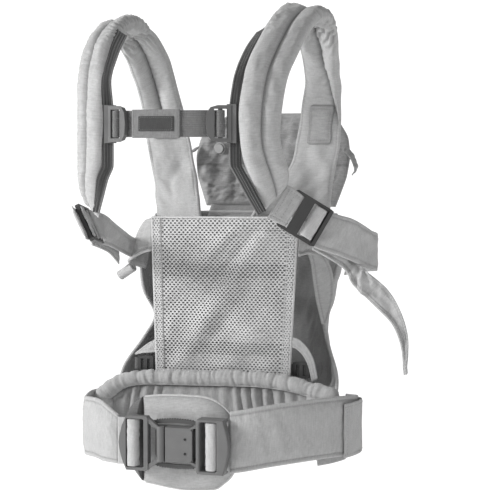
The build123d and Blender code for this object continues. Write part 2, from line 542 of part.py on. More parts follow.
# wings: from the mesh panel's upper side edges back to the shoulder straps' outer edges
for side in ("right", "left"):
    s = 1 if side == "right" else -1
    rows = []
    xt, xm = (83.6, 82.4) if side == "right" else (78.6, 78.2)
    for f in np.linspace(0, 1, 5):
        top = spline([(s * xt, 41.5, 208), (s * 91, 58, 205.5), (s * 97, 84, 204), (s * 97, 108, 204)], 6)
        low = spline([(s * xm, 42.5, 172), (s * 95, 55, 169), (s * 108, 75, 158), (s * 102, 90, 152)], 6)
        bulge = math.sin(math.pi * f) * 5
        rows.append([a * (1 - f) + b * f + vec(s * bulge * math.sin(math.pi * k / 5), -bulge * 0.3 * math.sin(math.pi * k / 5), 0) for k, (a, b) in enumerate(zip(top, low))])
    out(f"wing_{side}", sheet(rows, 2.4, -s))
    # lower gusset: narrow strip from the mesh panel's lower side edge to the pouch's base
    if side == "right":
        e0 = [(76.5, 46.2, 87), (83, 46.2, 84), (91.5, 46.2, 76), (98, 46.3, 64), (101.5, 46.5, 47.6)]
        e1 = [(76.5, 46.2, 76.5), (79.5, 46.2, 75), (86.2, 46.2, 68.5), (91.5, 46.3, 58.4), (95, 46.5, 45)]
    else:
        e0 = [(-75.8, 46.8, 80.5), (-80, 48, 77.5), (-85.3, 50, 74.9), (-96.4, 55, 67.5), (-104.2, 60, 62.3)]
        e1 = [(-75.8, 46.8, 66), (-80, 48, 65.2), (-85.4, 50, 64.3), (-94, 54, 63), (-103, 59.5, 60.5)]
    out(f"lower_gusset_{side}", band(e0, e1, 1.8, n=9))

# seat-width adjusters: small sliders on a strap at the pouch's lower corners
for side, x0, y0 in (("left", -87.5, 50.6), ("right", 83.0, 52.8)):
    web = Pos(x0, y0, 53) * Box(26, 1.2, 12)
    out(f"seat_strap_{side}", web)
    sl = Pos(x0, y0, 53) * Box(18, 5.4, 16)
    sl = rounded(sl, 1.2, lambda q: q.edges().filter_by(Axis.Y))
    sl -= Pos(x0, y0, 53) * Box(30, 1.9, 12.8)
    sl -= Pos(x0 - 3.6, y0 - 3.6, 53) * Box(3.4, 6, 11)
    sl -= Pos(x0 + 3.6, y0 - 3.6, 53) * Box(3.4, 6, 11)
    out(f"seat_adjuster_{side}", sl)

# =====================================================================
# Head support: padded flap hinged on the pouch's top edge, with snap straps
# =====================================================================
HS = [(-76, 0), (-81, 14), (-88, 34), (-91, 58), (-87, 80), (-74, 97), (-56, 106), (-20, 109), (20, 109), (56, 106), (74, 97), (87, 80), (91, 58), (88, 34), (81, 14), (76, 0)]
HY = lambda x, h: 222.0 + 0.30 * h - (abs(x) / 91) ** 2 * (16 + 0.10 * h)
HZ = lambda h: 215.0 + h * 0.985
hs_rows = []
for h in (0, 14, 34, 58, 80, 97, 107):
    wmax = float(np.interp(h, [0, 14, 34, 58, 80, 97, 106, 109], [76, 81, 88, 91, 87, 74, 57, 20]))
    t = HEAD_T * (0.5 if h in (0, 107) else 1.0)
    hs_rows.append([(x, HY(x, h), HZ(h), t) for x in np.linspace(-wmax, wmax, 11)])
m, n = len(hs_rows), 11
vf, vb = [], []
for r in hs_rows:
    for k, (x, y, z, t) in enumerate(r):
        tt = t * (0.35 if k in (0, n - 1) else 1.0)
        vf.append((x, y - tt / 2, z))
        vb.append((x, y + tt / 2, z))
v = vf + vb
o = len(vf)
tr = []
for i in range(m - 1):
    for j in range(n - 1):
        a, b, c, d = i * n + j, i * n + j + 1, (i + 1) * n + j + 1, (i + 1) * n + j
        tr += [(a, b, c), (a, c, d), (o + a, o + c, o + b), (o + a, o + d, o + c)]
lp = [j for j in range(n)] + [i * n + n - 1 for i in range(1, m)] + [(m - 1) * n + j for j in range(n - 2, -1, -1)] + [i * n for i in range(m - 2, 0, -1)]
for k in range(len(lp)):
    a, b = lp[k], lp[(k + 1) % len(lp)]
    tr += [(a, o + a, b), (b, o + a, o + b)]
out("head_support", solid(v, tr))
caps = []
for s in (-1, 1):
    x, h = s * 64, 66
    y = HY(x, h) - HEAD_T / 2 - 3.6
    caps.append(Pos(x, y, HZ(h)) * Rot(90, 0, 0) * Cylinder(5.2, 2.0))
out("snap_caps", *caps)
for s, side in ((-1, "left"), (1, "right")):
    x = s * 93.5
    p = [(s * 86.5, HY(88, 60) - 9, HZ(66)), (s * 93, HY(91, 60) - 13, HZ(62)), (s * 99, HY(91, 60) - 15, HZ(54)), (s * 102, HY(91, 60) - 15, HZ(44)), (s * 98, HY(91, 60) - 12, HZ(38))]
    out(f"head_strap_{side}", ribbon(p, [(0, 0.9, 0.3)] * 5, 14, 1.8, 7))
print("done")
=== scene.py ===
"""Soft baby carrier: the looks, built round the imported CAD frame.

Builders work in millimetres in the CAD frame; meshes are written in metres.
+X the wearer's right, +Y the way the wearer faces, +Z up.
"""

import bpy
import bmesh
import math
import numpy as np
from mathutils import Matrix, Vector


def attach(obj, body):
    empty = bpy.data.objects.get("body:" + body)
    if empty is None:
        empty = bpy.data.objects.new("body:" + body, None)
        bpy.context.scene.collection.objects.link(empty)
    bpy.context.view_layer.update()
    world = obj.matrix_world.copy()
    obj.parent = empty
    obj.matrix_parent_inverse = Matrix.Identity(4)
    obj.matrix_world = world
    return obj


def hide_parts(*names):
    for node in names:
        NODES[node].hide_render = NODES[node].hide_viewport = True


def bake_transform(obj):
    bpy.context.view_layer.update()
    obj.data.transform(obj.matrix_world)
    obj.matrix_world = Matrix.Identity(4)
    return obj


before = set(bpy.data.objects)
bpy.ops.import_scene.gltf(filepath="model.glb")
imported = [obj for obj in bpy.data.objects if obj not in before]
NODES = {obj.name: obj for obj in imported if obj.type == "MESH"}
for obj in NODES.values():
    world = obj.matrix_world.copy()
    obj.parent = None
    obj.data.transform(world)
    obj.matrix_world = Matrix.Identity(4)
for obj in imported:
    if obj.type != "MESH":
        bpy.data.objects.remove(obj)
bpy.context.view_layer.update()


# =====================================================================
# Small maths
# =====================================================================
def vec(*p):
    return np.array(p, float)


def unit(v):
    v = np.asarray(v, float)
    return v / np.maximum(np.linalg.norm(v, axis=-1, keepdims=True), 1e-12)


def cat(pts, m=24):
    """Catmull-Rom through the points, m steps to a span."""
    p = np.asarray(pts, float)
    if len(p) == 2:
        p = np.vstack([p[0], (p[0] + p[1]) / 2, p[1]])
    q = np.vstack([2 * p[0] - p[1], p, 2 * p[-1] - p[-2]])
    res = []
    for k in range(len(p) - 1):
        a, b, c, d = q[k:k + 4]
        for i in range(m):
            t = i / m
            res.append(0.5 * (2 * b + (c - a) * t + (2 * a - 5 * b + 4 * c - d) * t * t + (3 * b - 3 * c + d - a) * t ** 3))
    res.append(p[-1])
    return np.array(res)


def arc(p):
    return np.r_[0, np.cumsum(np.linalg.norm(np.diff(p, axis=0), axis=1))]


def at(p, s, t):
    return np.stack([np.interp(t, s, p[:, k]) for k in range(p.shape[1])], 1)


def even(p, step):
    """Points of a curve at an even spacing near step."""
    s = arc(p)
    n = max(3, int(round(s[-1] / step)) + 1)
    t = np.linspace(0, s[-1], n)
    return at(p, s, t), t


def rails(a, b, step):
    """Two edge curves resampled together along their middle line."""
    a, b = cat(a), cat(b)
    s = arc((a + b) / 2)
    n = max(4, int(round(s[-1] / step)) + 1)
    t = np.linspace(0, s[-1], n)
    return at(a, s, t), at(b, s, t), t


def field(u, v, lu, lv, seed, k=18):
    """Smooth random field of about unit size, with wavelengths near lu along u and lv along v (mm)."""
    r = np.random.RandomState(seed)
    f = np.zeros(np.broadcast(u, v).shape)
    for _ in range(k):
        f = f + np.cos(2 * np.pi * (u * r.normal(0, 0.75) / lu + v * r.normal(0, 0.75) / lv) + r.uniform(0, 6.283))
    return f * math.sqrt(2.0 / k)


def smooth(x, a, b):
    t = np.clip((x - a) / (b - a), 0, 1)
    return t * t * (3 - 2 * t)


def bump(x, c, w):
    return np.exp(-((x - c) / w) ** 2)


def dome(d, r):
    """0 at an edge, 1 at distance r and beyond, with a round shoulder."""
    return np.sqrt(np.clip(1 - (1 - np.clip(d / r, 0, 1)) ** 2, 0, 1))


def mirror(p):
    p = np.array(p, float)
    p[..., 0] *= -1
    return p


# =====================================================================
# Materials
# =====================================================================
class Mat:
    def __init__(self, name):
        self.m = bpy.data.materials.new(name)
        self.m.use_nodes = True
        self.t = self.m.node_tree
        self.t.nodes.clear()
        o = self.node("ShaderNodeOutputMaterial")
        self.b = self.node("ShaderNodeBsdfPrincipled")
        self.link(self.b.outputs[0], o.inputs[0])

    def node(self, kind, **kw):
        n = self.t.nodes.new(kind)
        for k, v in kw.items():
            setattr(n, k, v)
        return n

    def link(self, a, b):
        self.t.links.new(a, b)

    def put(self, sock, v):
        if hasattr(v, "is_output"):
            self.link(v, sock)
        else:
            sock.default_value = v

    def math(self, op, a, b=0.0, c=0.0, clamp=False):
        n = self.node("ShaderNodeMath", operation=op, use_clamp=clamp)
        for s, v in zip(n.inputs, (a, b, c)):
            self.put(s, v)
        return n.outputs[0]

    def scale(self, v, s, off=(0, 0, 0), rot=(0, 0, 0)):
        n = self.node("ShaderNodeMapping")
        self.link(v, n.inputs["Vector"])
        n.inputs["Scale"].default_value = s
        n.inputs["Location"].default_value = off
        n.inputs["Rotation"].default_value = rot
        return n.outputs[0]

    def noise(self, v, s, detail=2.0, rough=0.5, dist=0.0):
        n = self.node("ShaderNodeTexNoise")
        self.link(v, n.inputs["Vector"])
        n.inputs["Scale"].default_value = s
        n.inputs["Detail"].default_value = detail
        n.inputs["Roughness"].default_value = rough
        n.inputs["Distortion"].default_value = dist
        return n.outputs["Fac"]

    def mix(self, f, a, b, mode="MIX"):
        n = self.node("ShaderNodeMix", data_type="RGBA", blend_type=mode)
        self.put(n.inputs[0], f)
        self.put(n.inputs[6], a)
        self.put(n.inputs[7], b)
        return n.outputs[2]

    def remap(self, v, a, b, c, d):
        n = self.node("ShaderNodeMapRange")
        self.link(v, n.inputs["Value"])
        for k, x in zip(("From Min", "From Max", "To Min", "To Max"), (a, b, c, d)):
            n.inputs[k].default_value = x
        return n.outputs[0]

    def coords(self, uv):
        if uv:
            return self.node("ShaderNodeUVMap", uv_map="UVMap").outputs[0]
        return self.node("ShaderNodeTexCoord").outputs["Object"]

    def bump(self, h, dist, strength=1.0, after=None):
        n = self.node("ShaderNodeBump")
        self.link(h, n.inputs["Height"])
        n.inputs["Distance"].default_value = dist
        n.inputs["Strength"].default_value = strength
        if after is not None:
            self.link(after, n.inputs["Normal"])
        return n.outputs[0]


def rgb(x, k=None):
    if k is None:
        return (x, x, x * 1.005, 1)
    return (x, k[0], k[1], 1)


def fabric(name, base, spread=0.10, uv=True, pitch=0.00085, rough=0.9, sheen=0.25, ridge=0.00010, mottle=0.05, lines=None, tint=(1, 1, 1)):
    """Woven heather cloth: light and dark yarns both ways, fine weave relief and fuzz."""
    m = Mat(name)
    v = m.coords(uv)
    if uv:
        warp = m.noise(m.scale(v, (1 / 0.0007, 1 / 0.0045, 1)), 1.0, 3.0, 0.65)
        weft = m.noise(m.scale(v, (1 / 0.0055, 1 / 0.0007, 1), off=(7, 3, 0)), 1.0, 3.0, 0.65)
    else:
        warp = m.noise(m.scale(v, (1 / 0.0008, 1 / 0.0008, 1 / 0.0045)), 1.0, 3.0, 0.65)
        weft = m.noise(m.scale(v, (1 / 0.0055, 1 / 0.0055, 1 / 0.0007), off=(7, 3, 1)), 1.0, 3.0, 0.65)
    if uv:
        slub = m.noise(m.scale(v, (1 / 0.009, 1 / 0.0016, 1), off=(3, 9, 0)), 1.0, 4.0, 0.7)
    else:
        slub = m.noise(m.scale(v, (1 / 0.009, 1 / 0.009, 1 / 0.0016), off=(3, 9, 2)), 1.0, 4.0, 0.7)
    yarn = m.math("ADD", warp, weft)
    cloud = m.noise(m.scale(v, (40, 40, 40)), 1.0, 3.0, 0.6)
    k = m.math("MULTIPLY_ADD", m.math("SUBTRACT", yarn, 1.0), spread * 4.2, 1.0)
    k = m.math("MULTIPLY_ADD", m.math("SUBTRACT", slub, 0.5), spread * 6.0, k)
    k = m.math("MULTIPLY_ADD", m.math("SUBTRACT", cloud, 0.5), mottle * 4, k)
    # painted shade: the point attribute read here (0 to 1) darkens the cloth's colour by up to 55 % in seam grooves,
    # creases, gather valleys and round cushion rims
    seam = m.node("ShaderNodeAttribute", attribute_name="seam").outputs["Fac"]
    k = m.math("MULTIPLY", k, m.math("MULTIPLY_ADD", seam, -0.55, 1.0))
    col = m.node("ShaderNodeCombineColor")
    for i, s in enumerate(("Red", "Green", "Blue")):
        m.link(m.math("MULTIPLY", k, base * tint[i], clamp=True), col.inputs[s])
    m.link(col.outputs[0], m.b.inputs["Base Color"])
    sep = m.node("ShaderNodeSeparateXYZ")
    m.link(v, sep.inputs[0])
    w = 2 * math.pi / pitch
    if uv:
        a = m.math("SINE", m.math("MULTIPLY", sep.outputs[0], w))
        b = m.math("SINE", m.math("MULTIPLY", sep.outputs[1], w))
    else:
        a = m.math("SINE", m.math("MULTIPLY", m.math("ADD", sep.outputs[0], sep.outputs[1]), w * 0.8))
        b = m.math("SINE", m.math("MULTIPLY", sep.outputs[2], w))
    weave = m.math("MULTIPLY", a, b)
    if lines is not None:
        c = m.math("SINE", m.math("MULTIPLY", sep.outputs[lines[0]], 2 * math.pi / lines[1]))
        weave = m.math("MULTIPLY_ADD", c, lines[2], weave)
    h = m.math("MULTIPLY_ADD", yarn, 1.2, weave)
    m.link(m.bump(h, ridge), m.b.inputs["Normal"])
    m.link(m.remap(cloud, 0.3, 0.7, rough - 0.05, min(1.0, rough + 0.05)), m.b.inputs["Roughness"])
    m.b.inputs["Sheen Weight"].default_value = sheen
    m.b.inputs["Sheen Roughness"].default_value = 0.45
    m.b.inputs["Specular IOR Level"].default_value = 0.25
    return m.m


def plastic(name, base, rough=0.42, grain=0.00006, spec=0.45, mark=0.25):
    """Moulded plastic: fine spark-eroded grain, slightly polished and dusty patches."""
    m = Mat(name)
    v = m.coords(False)
    fine = m.noise(v, 2600, 2.0, 0.6)
    cloud = m.noise(v, 60, 4.0, 0.6)
    scr = m.noise(m.scale(v, (60, 60, 900)), 1.0, 2.0, 0.6)
    k = m.math("MULTIPLY_ADD", m.math("SUBTRACT", cloud, 0.5), 0.35, 1.0)
    k = m.math("MULTIPLY_ADD", m.math("SUBTRACT", fine, 0.5), 0.25, k)
    col = m.node("ShaderNodeCombineColor")
    for i, s in enumerate(("Red", "Green", "Blue")):
        m.link(m.math("MULTIPLY", k, base, clamp=True), col.inputs[s])
    m.link(col.outputs[0], m.b.inputs["Base Color"])
    r = m.math("MULTIPLY_ADD", m.math("SUBTRACT", cloud, 0.5), mark, rough)
    r = m.math("MULTIPLY_ADD", m.math("SUBTRACT", scr, 0.5), 0.12, r)
    m.link(r, m.b.inputs["Roughness"])
    m.link(m.bump(fine, grain), m.b.inputs["Normal"])
    m.b.inputs["Specular IOR Level"].default_value = spec
    return m.m


HEATHER = fabric("heather", 0.40)
HEATHER_OBJ = fabric("heather_sewn", 0.40, uv=False)
LIGHT = fabric("heather_light", 0.46, spread=0.09)
LINING = fabric("lining", 0.33, spread=0.10, mottle=0.07)
DARKPANEL = fabric("dark_panel", 0.13, spread=0.10)
SHADOW = fabric("inner_fabric", 0.20, spread=0.14)
TAPE = fabric("edge_tape", 0.036, spread=0.10, pitch=0.0012, ridge=0.00016, lines=(0, 0.0032, 1.6))
TAPE_LIGHT = fabric("edge_tape_light", 0.15, spread=0.12, pitch=0.0010)
WEB = fabric("chest_webbing", 0.140, spread=0.12, pitch=0.0014, ridge=0.00018, lines=(0, 0.0017, 1.2), sheen=0.15, rough=0.8)
SLEEVE = fabric("sleeve", 0.180, spread=0.14, pitch=0.0011)
LABEL = fabric("woven_label", 0.050, spread=0.12, pitch=0.0007, sheen=0.05, rough=0.75)
MESHMAT = fabric("mesh_knit", 0.52, spread=0.10, uv=False, pitch=0.0011, sheen=0.15, ridge=0.00008)
MESHBACK = fabric("mesh_backing", 0.30, spread=0.10)
PATCHWHITE = fabric("inner_label_cloth", 0.72, spread=0.05)
THREAD = fabric("thread", 0.30, spread=0.08, uv=False, pitch=0.0006, ridge=0.00003, mottle=0.02)
THREAD_DARK = fabric("thread_dark", 0.15, spread=0.08, uv=False, pitch=0.0006, ridge=0.00003, mottle=0.02)
PIPING = fabric("piping", 0.50, spread=0.10, uv=False)
PATCH = fabric("sewn_patch", 0.33, spread=0.10)
HEAD = fabric("head_support_heather", 0.27, spread=0.12)
# darker cloth for the insides: painted shade
INSIDE_SHADED = fabric("inside_cloth_painted_shade", 0.27, spread=0.10, mottle=0.09)
BUCKLE = plastic("buckle_plastic_grey", 0.115, 0.42)
BUCKLE_DARK = plastic("buckle_plastic_inner", 0.060, 0.46)
SLIDER = plastic("slider_plastic_grey", 0.090, 0.40)
ADJUST = plastic("adjuster_plastic", 0.036, 0.40)
RIVET = plastic("rivet_black", 0.006, 0.3)
SNAP = plastic("snap_plastic_grey", 0.30, 0.42)


# =====================================================================
# Mesh builders
# =====================================================================
PIECES = []


def add(name, v, f, mat, body="carrier", repl=(), slot=None, uv=None, seam=None, sharp=None, fix=True):
    """A mesh piece from millimetre vertices."""
    me = bpy.data.meshes.new(name)
    me.from_pydata((np.asarray(v) * 0.001).tolist(), [], [tuple(int(i) for i in q) for q in f])
    me.validate()
    if fix:
        bm = bmesh.new()
        bm.from_mesh(me)
        bmesh.ops.recalc_face_normals(bm, faces=bm.faces)
        bm.to_mesh(me)
        bm.free()
    if uv is not None:
        lay = me.uv_layers.new(name="UVMap")
        li = np.empty(len(me.loops), int)
        me.loops.foreach_get("vertex_index", li)
        lay.data.foreach_set("uv", (np.asarray(uv)[li] * 0.001).ravel().astype(np.float32))
    # painted shade mask, 0 to 1 per vertex, read by the cloth materials to darken grooves and creases
    if seam is not None:
        a = me.attributes.new("seam", "FLOAT", "POINT")
        a.data.foreach_set("value", np.asarray(seam, np.float32).ravel())
    me.polygons.foreach_set("use_smooth", [True] * len(me.polygons))
    o = bpy.data.objects.new(name, me)
    bpy.context.scene.collection.objects.link(o)
    o.data.materials.append(mat)
    if sharp is not None:
        me.set_sharp_from_angle(angle=math.radians(sharp))
    PIECES.append((o, body, tuple(repl), slot))
    return o


def grid_faces(n, m, o=0, wrap=False):
    f = []
    mm = m if wrap else m - 1
    for i in range(n - 1):
        for j in range(mm):
            k = (j + 1) % m
            f.append((o + i * m + j, o + i * m + k, o + (i + 1) * m + k, o + (i + 1) * m + j))
    return f


def shell(front, back):
    """Faces of a closed slab from two grids of the same size."""
    n, m, _ = front.shape
    o = n * m
    f = grid_faces(n, m) + [tuple(reversed(q)) for q in grid_faces(n, m, o)]
    for i in range(n - 1):
        a, b = i * m, (i + 1) * m
        f.append((a, b, o + b, o + a))
        a, b = i * m + m - 1, (i + 1) * m + m - 1
        f.append((b, a, o + a, o + b))
    for j in range(m - 1):
        f.append((j + 1, j, o + j, o + j + 1))
        a = (n - 1) * m
        f.append((a + j, a + j + 1, o + a + j + 1, o + a + j))
    return np.vstack([front.reshape(-1, 3), back.reshape(-1, 3)]), f


def qgrid(nq):
    i = np.linspace(0, 1, nq)
    return 0.5 - 0.5 * np.cos(np.pi * i)


def strip(a, b, step=2.0, nq=20, away=None, flip=False):
    """Frame of a strap between two edge curves: points, normals, arc lengths, positions across."""
    A, B, s = rails(a, b, step)
    W = B - A
    w = np.linalg.norm(W, axis=1)
    T = np.gradient((A + B) / 2, axis=0)
    N = unit(np.cross(T, W))
    if away is not None:
        mid = (A + B) / 2
        if (np.einsum("ij,ij->i", mid - np.asarray(away, float), N)).sum() < 0:
            N = -N
    if flip:
        N = -N
    q = qgrid(nq)
    P = A[:, None] + W[:, None] * q[None, :, None]
    return dict(P=P, N=N, s=s, S=np.repeat(s[:, None], nq, 1), Q=np.repeat(q[None], len(s), 0), w=w, Wd=np.repeat(w[:, None], nq, 1), T=unit(T), U=unit(W), L=s[-1])


def slab(name, st, hf, hb, mat, **kw):
    """Closed piece over a strip; hf and hb are its heights in front of and behind the strip."""
    F = st["P"] + st["N"][:, None] * hf[..., None]
    Bk = st["P"] - st["N"][:, None] * hb[..., None]
    v, f = shell(F, Bk)
    uv1 = np.stack([(st["Q"] - 0.5) * st["Wd"], st["S"]], -1).reshape(-1, 2)
    seam = kw.pop("seam", None)
    held, rests = kw.pop("held", "stretched"), kw.pop("rests", ())
    # painted shade: the back face gets half of the front's darkening
    if seam is not None:
        seam = np.r_[seam.ravel(), (seam * 0.5).ravel()]
    st["F"], st["B"] = F, Bk
    st["o"] = add(name, v, f, mat, uv=np.vstack([uv1, uv1]), seam=seam, **kw)
    if held:
        soft(st["o"])
    return st["o"]


def edge_d(st):
    """Distance from the nearer long edge, and from the nearer end, in mm."""
    return np.minimum(st["Q"], 1 - st["Q"]) * st["Wd"], np.minimum(st["S"], st["L"] - st["S"])


def flat(st, t, r=None, re=None):
    """Half thickness of a flat strap with rounded edges."""
    r = t / 2 if r is None else r
    re = r if re is None else re
    d, e = edge_d(st)
    return t / 2 * dome(d, r) * dome(e + 0.02, re)


def line_at(st, q, off=0.0, face="F", s0=None, s1=None):
    """Points and normals along a strap at position q across it, on its front or back."""
    g = st[face]
    qs = st["Q"][0]
    pts = np.stack([[np.interp(q, qs, g[i, :, k]) for k in range(3)] for i in range(len(g))])
    n = st["N"] if face == "F" else -st["N"]
    m = np.ones(len(pts), bool)
    if s0 is not None:
        m &= st["s"] >= s0
    if s1 is not None:
        m &= st["s"] <= s1
    return (pts + n * off)[m], n[m]


def across(st, s, q0=0.05, q1=0.95, off=0.0, face="F"):
    """Points and normals across a strap at arc length s."""
    i = int(np.argmin(abs(st["s"] - s)))
    qs = st["Q"][0]
    m = (qs >= q0) & (qs <= q1)
    n = st["N"][i] if face == "F" else -st["N"][i]
    p = st[face][i][m] + n * off
    return p, np.repeat(n[None], len(p), 0)


def tube(name, path, r, mat, step=1.5, ring=10, cap=True, rad=None, up=None, **kw):
    """Round cord along a path; rad(s, angle) may vary the radius."""
    p, s = even(cat(path) if len(path) < 30 else np.asarray(path, float), step)
    t = unit(np.gradient(p, axis=0))
    n0 = np.array([0, 0, 1.0]) if up is None else np.asarray(up, float)
    N = []
    n = n0 - t[0] * (n0 @ t[0])
    if np.linalg.norm(n) < 1e-3:
        n = np.array([1.0, 0, 0]) - t[0] * t[0][0]
    n = unit(n)
    for k in range(len(p)):
        n = unit(n - t[k] * (n @ t[k]))
        N.append(n)
    N = np.array(N)
    Bn = np.cross(t, N)
    a = np.arange(ring) / ring * 2 * np.pi
    R = np.full((len(p), ring), float(r)) if rad is None else rad(s[:, None], a[None])
    V = p[:, None] + R[..., None] * (np.cos(a)[None, :, None] * N[:, None] + np.sin(a)[None, :, None] * Bn[:, None])
    f = grid_faces(len(p), ring, wrap=True)
    v = V.reshape(-1, 3)
    uv = np.stack([np.repeat((a * r)[None], len(p), 0), np.repeat(s[:, None], ring, 1)], -1).reshape(-1, 2)
    c0, c1 = len(v), len(v) + 1
    v = np.vstack([v, p[0] - t[0] * r * 0.35, p[-1] + t[-1] * r * 0.35])
    uv = np.vstack([uv, uv[0], uv[-1]])
    for j in range(ring):
        f.append((c0, (j + 1) % ring, j))
        f.append((c1, (len(p) - 1) * ring + j, (len(p) - 1) * ring + (j + 1) % ring))
    return add(name, v, f, mat, uv=uv, **kw)


def stitches(name, lines, mat=None, pitch=3.1, length=2.1, r=0.34, **kw):
    """Rows of thread stitches; each line is (points, normals)."""
    V, F = [], []
    for pts, nrm in lines:
        pts, nrm = np.asarray(pts, float), np.asarray(nrm, float)
        s = arc(pts)
        if s[-1] < pitch:
            continue
        c = np.arange(pitch / 2, s[-1], pitch)
        P, N = at(pts, s, c), unit(at(nrm, s, c))
        d = 0.3
        T = unit(at(pts, s, np.minimum(c + d, s[-1])) - at(pts, s, np.maximum(c - d, 0)))
        Bn = np.cross(T, N)
        for k in range(len(c)):
            o = len(V)
            for x, q in ((-0.5, 0.25), (-0.32, 1.0), (0.32, 1.0), (0.5, 0.25)):
                for a in (0, 72, 144, 216, 288):
                    ca, sa = math.cos(math.radians(a)), math.sin(math.radians(a))
                    V.append(P[k] + T[k] * length * x + (N[k] * ca * 0.8 + Bn[k] * sa) * r * q - N[k] * (0.2 if abs(x) > 0.4 else -0.05))
            for i in range(3):
                for j in range(5):
                    F.append((o + i * 5 + j, o + i * 5 + (j + 1) % 5, o + (i + 1) * 5 + (j + 1) % 5, o + (i + 1) * 5 + j))
            F.append((o + 4, o + 3, o + 2, o + 1, o))
            F.append((o + 15, o + 16, o + 17, o + 18, o + 19))
    if not V:
        return None
    return add(name, np.array(V), F, mat or THREAD, fix=True, **kw)


def applied(o):
    """Replace an object's mesh with its evaluated one, and clear its modifiers."""
    dg = bpy.context.evaluated_depsgraph_get()
    me = bpy.data.meshes.new_from_object(o.evaluated_get(dg), preserve_all_data_layers=True, depsgraph=dg)
    o.modifiers.clear()
    o.data = me
    return o


def ribbon_edges(path, wdirs, width, m=24):
    """Edge curves of a ribbon from its middle line, width directions and width."""
    p = cat(path, m)
    k = np.linspace(0, 1, len(p))
    wd = np.asarray(wdirs, float)
    if wd.ndim == 1:
        wd = np.repeat(wd[None], len(path), 0)
    W = unit(np.stack([np.interp(k, np.linspace(0, 1, len(wd)), unit(wd)[:, c]) for c in range(3)], 1))
    width = np.atleast_1d(width).astype(float)
    if len(width) == 1:
        width = np.repeat(width, 2)
    w = np.interp(k, np.linspace(0, 1, len(width)), width)[:, None]
    return p - W * w / 2, p + W * w / 2


def ribbon_strip(path, wdirs, width, step=1.5, nq=16, **kw):
    a, b = ribbon_edges(path, wdirs, width)
    s = arc((a + b) / 2)
    n = max(6, int(round(s[-1] / step)))
    t = np.linspace(0, s[-1], n)
    return strip_pts(at(a, s, t), at(b, s, t), nq=nq, **kw)


def strip_pts(A, B, nq=16, away=None, flip=False):
    """As strip(), from edge points already sampled."""
    s = arc((A + B) / 2)
    W = B - A
    w = np.linalg.norm(W, axis=1)
    T = np.gradient((A + B) / 2, axis=0)
    N = unit(np.cross(T, W))
    if away is not None and (np.einsum("ij,ij->i", (A + B) / 2 - np.asarray(away, float), N)).sum() < 0:
        N = -N
    if flip:
        N = -N
    q = qgrid(nq)
    P = A[:, None] + W[:, None] * q[None, :, None]
    return dict(P=P, N=N, s=s, S=np.repeat(s[:, None], nq, 1), Q=np.repeat(q[None], len(s), 0), w=w, Wd=np.repeat(w[:, None], nq, 1), T=unit(T), U=unit(W), L=s[-1])


def grid_slab(name, G, t, side, mat, edge=1.4, **kw):
    """Thick sheet from a dense grid of points: t thick, to one side of the surface, with thin edges rounded."""
    G = np.asarray(G, float)
    du = np.gradient(G, axis=0)
    dv = np.gradient(G, axis=1)
    N = unit(np.cross(du, dv)) * side
    n, m, _ = G.shape
    U = np.concatenate([np.zeros((n, 1)), np.cumsum(np.linalg.norm(np.diff(G, axis=1), axis=2), axis=1)], 1)
    V = np.concatenate([np.zeros((1, m)), np.cumsum(np.linalg.norm(np.diff(G, axis=0), axis=2), axis=0)], 0)
    e = np.minimum(np.minimum(U, U[:, -1:] - U), np.minimum(V, V[-1:] - V))
    k = dome(e + 0.02, edge)
    mid = G + N * t / 2
    F = mid + N * (t / 2 * k)[..., None]
    Bk = mid - N * (t / 2 * k)[..., None]
    v, f = shell(Bk, F)
    uv = np.stack([U, V], -1).reshape(-1, 2)
    seam = kw.pop("seam", None)
    if seam is not None:
        seam = np.r_[seam.ravel(), seam.ravel()]
    held = kw.pop("held", "hung")
    o = add(name, v, f, mat, uv=np.vstack([uv, uv]), seam=seam, **kw)
    return o, F, Bk, N


def refine(grid, n, m):
    """Catmull-Rom refinement of a coarse grid of points to n x m."""
    g = np.asarray(grid, float)
    rows = []
    for r in g:
        c = cat(r, 12)
        rows.append(at(c, np.linspace(0, 1, len(c)), np.linspace(0, 1, m)))
    rows = np.array(rows)
    res = np.empty((n, m, 3))
    for j in range(m):
        c = cat(rows[:, j], 12)
        res[:, j] = at(c, np.linspace(0, 1, len(c)), np.linspace(0, 1, n))
    return res


def grid_line(G, N, i=None, j=None, off=0.0, a=0.0, b=1.0):
    """Points and normals along a row or column of a grid."""
    p, n = (G[i], N[i]) if i is not None else (G[:, j], N[:, j])
    k = np.linspace(0, 1, len(p))
    m = (k >= a) & (k <= b)
    return (p + n * off)[m], n[m]


def soft(o):
    """Return the sheet as it is; nothing is stored."""
    return o


# =====================================================================
# Waist belt
# =====================================================================
BELT = [(-128, 26), (-100, 33), (-60, 37.5), (0, 39), (60, 37.5), (100, 33), (131, 27)]
_bx = [p[0] for p in BELT]
_by = [p[1] for p in BELT]


def belt_y(x):
    return np.interp(x, _bx, _by)


def roll_z(x):
    return np.interp(x, [-128, -118, -104, -83, -45, 0, 42, 71, 92, 113, 131], [18, 29, 38.5, 42.5, 43, 44, 45, 43, 39.5, 35, 30.5])


def hemmed(st, t, seed, wave=0.3, hem=3.2):
    d, e = edge_d(st)
    h = t / 2 * dome(d, 1.1) * dome(e + 0.05, 1.1) + 0.35 * smooth(d, hem, hem + 5) - 0.35 * bump(d, hem, 0.7)
    return h + wave * field(st["S"], st["Q"] * st["Wd"], 20, 18, seed) * smooth(d, 0, 6)


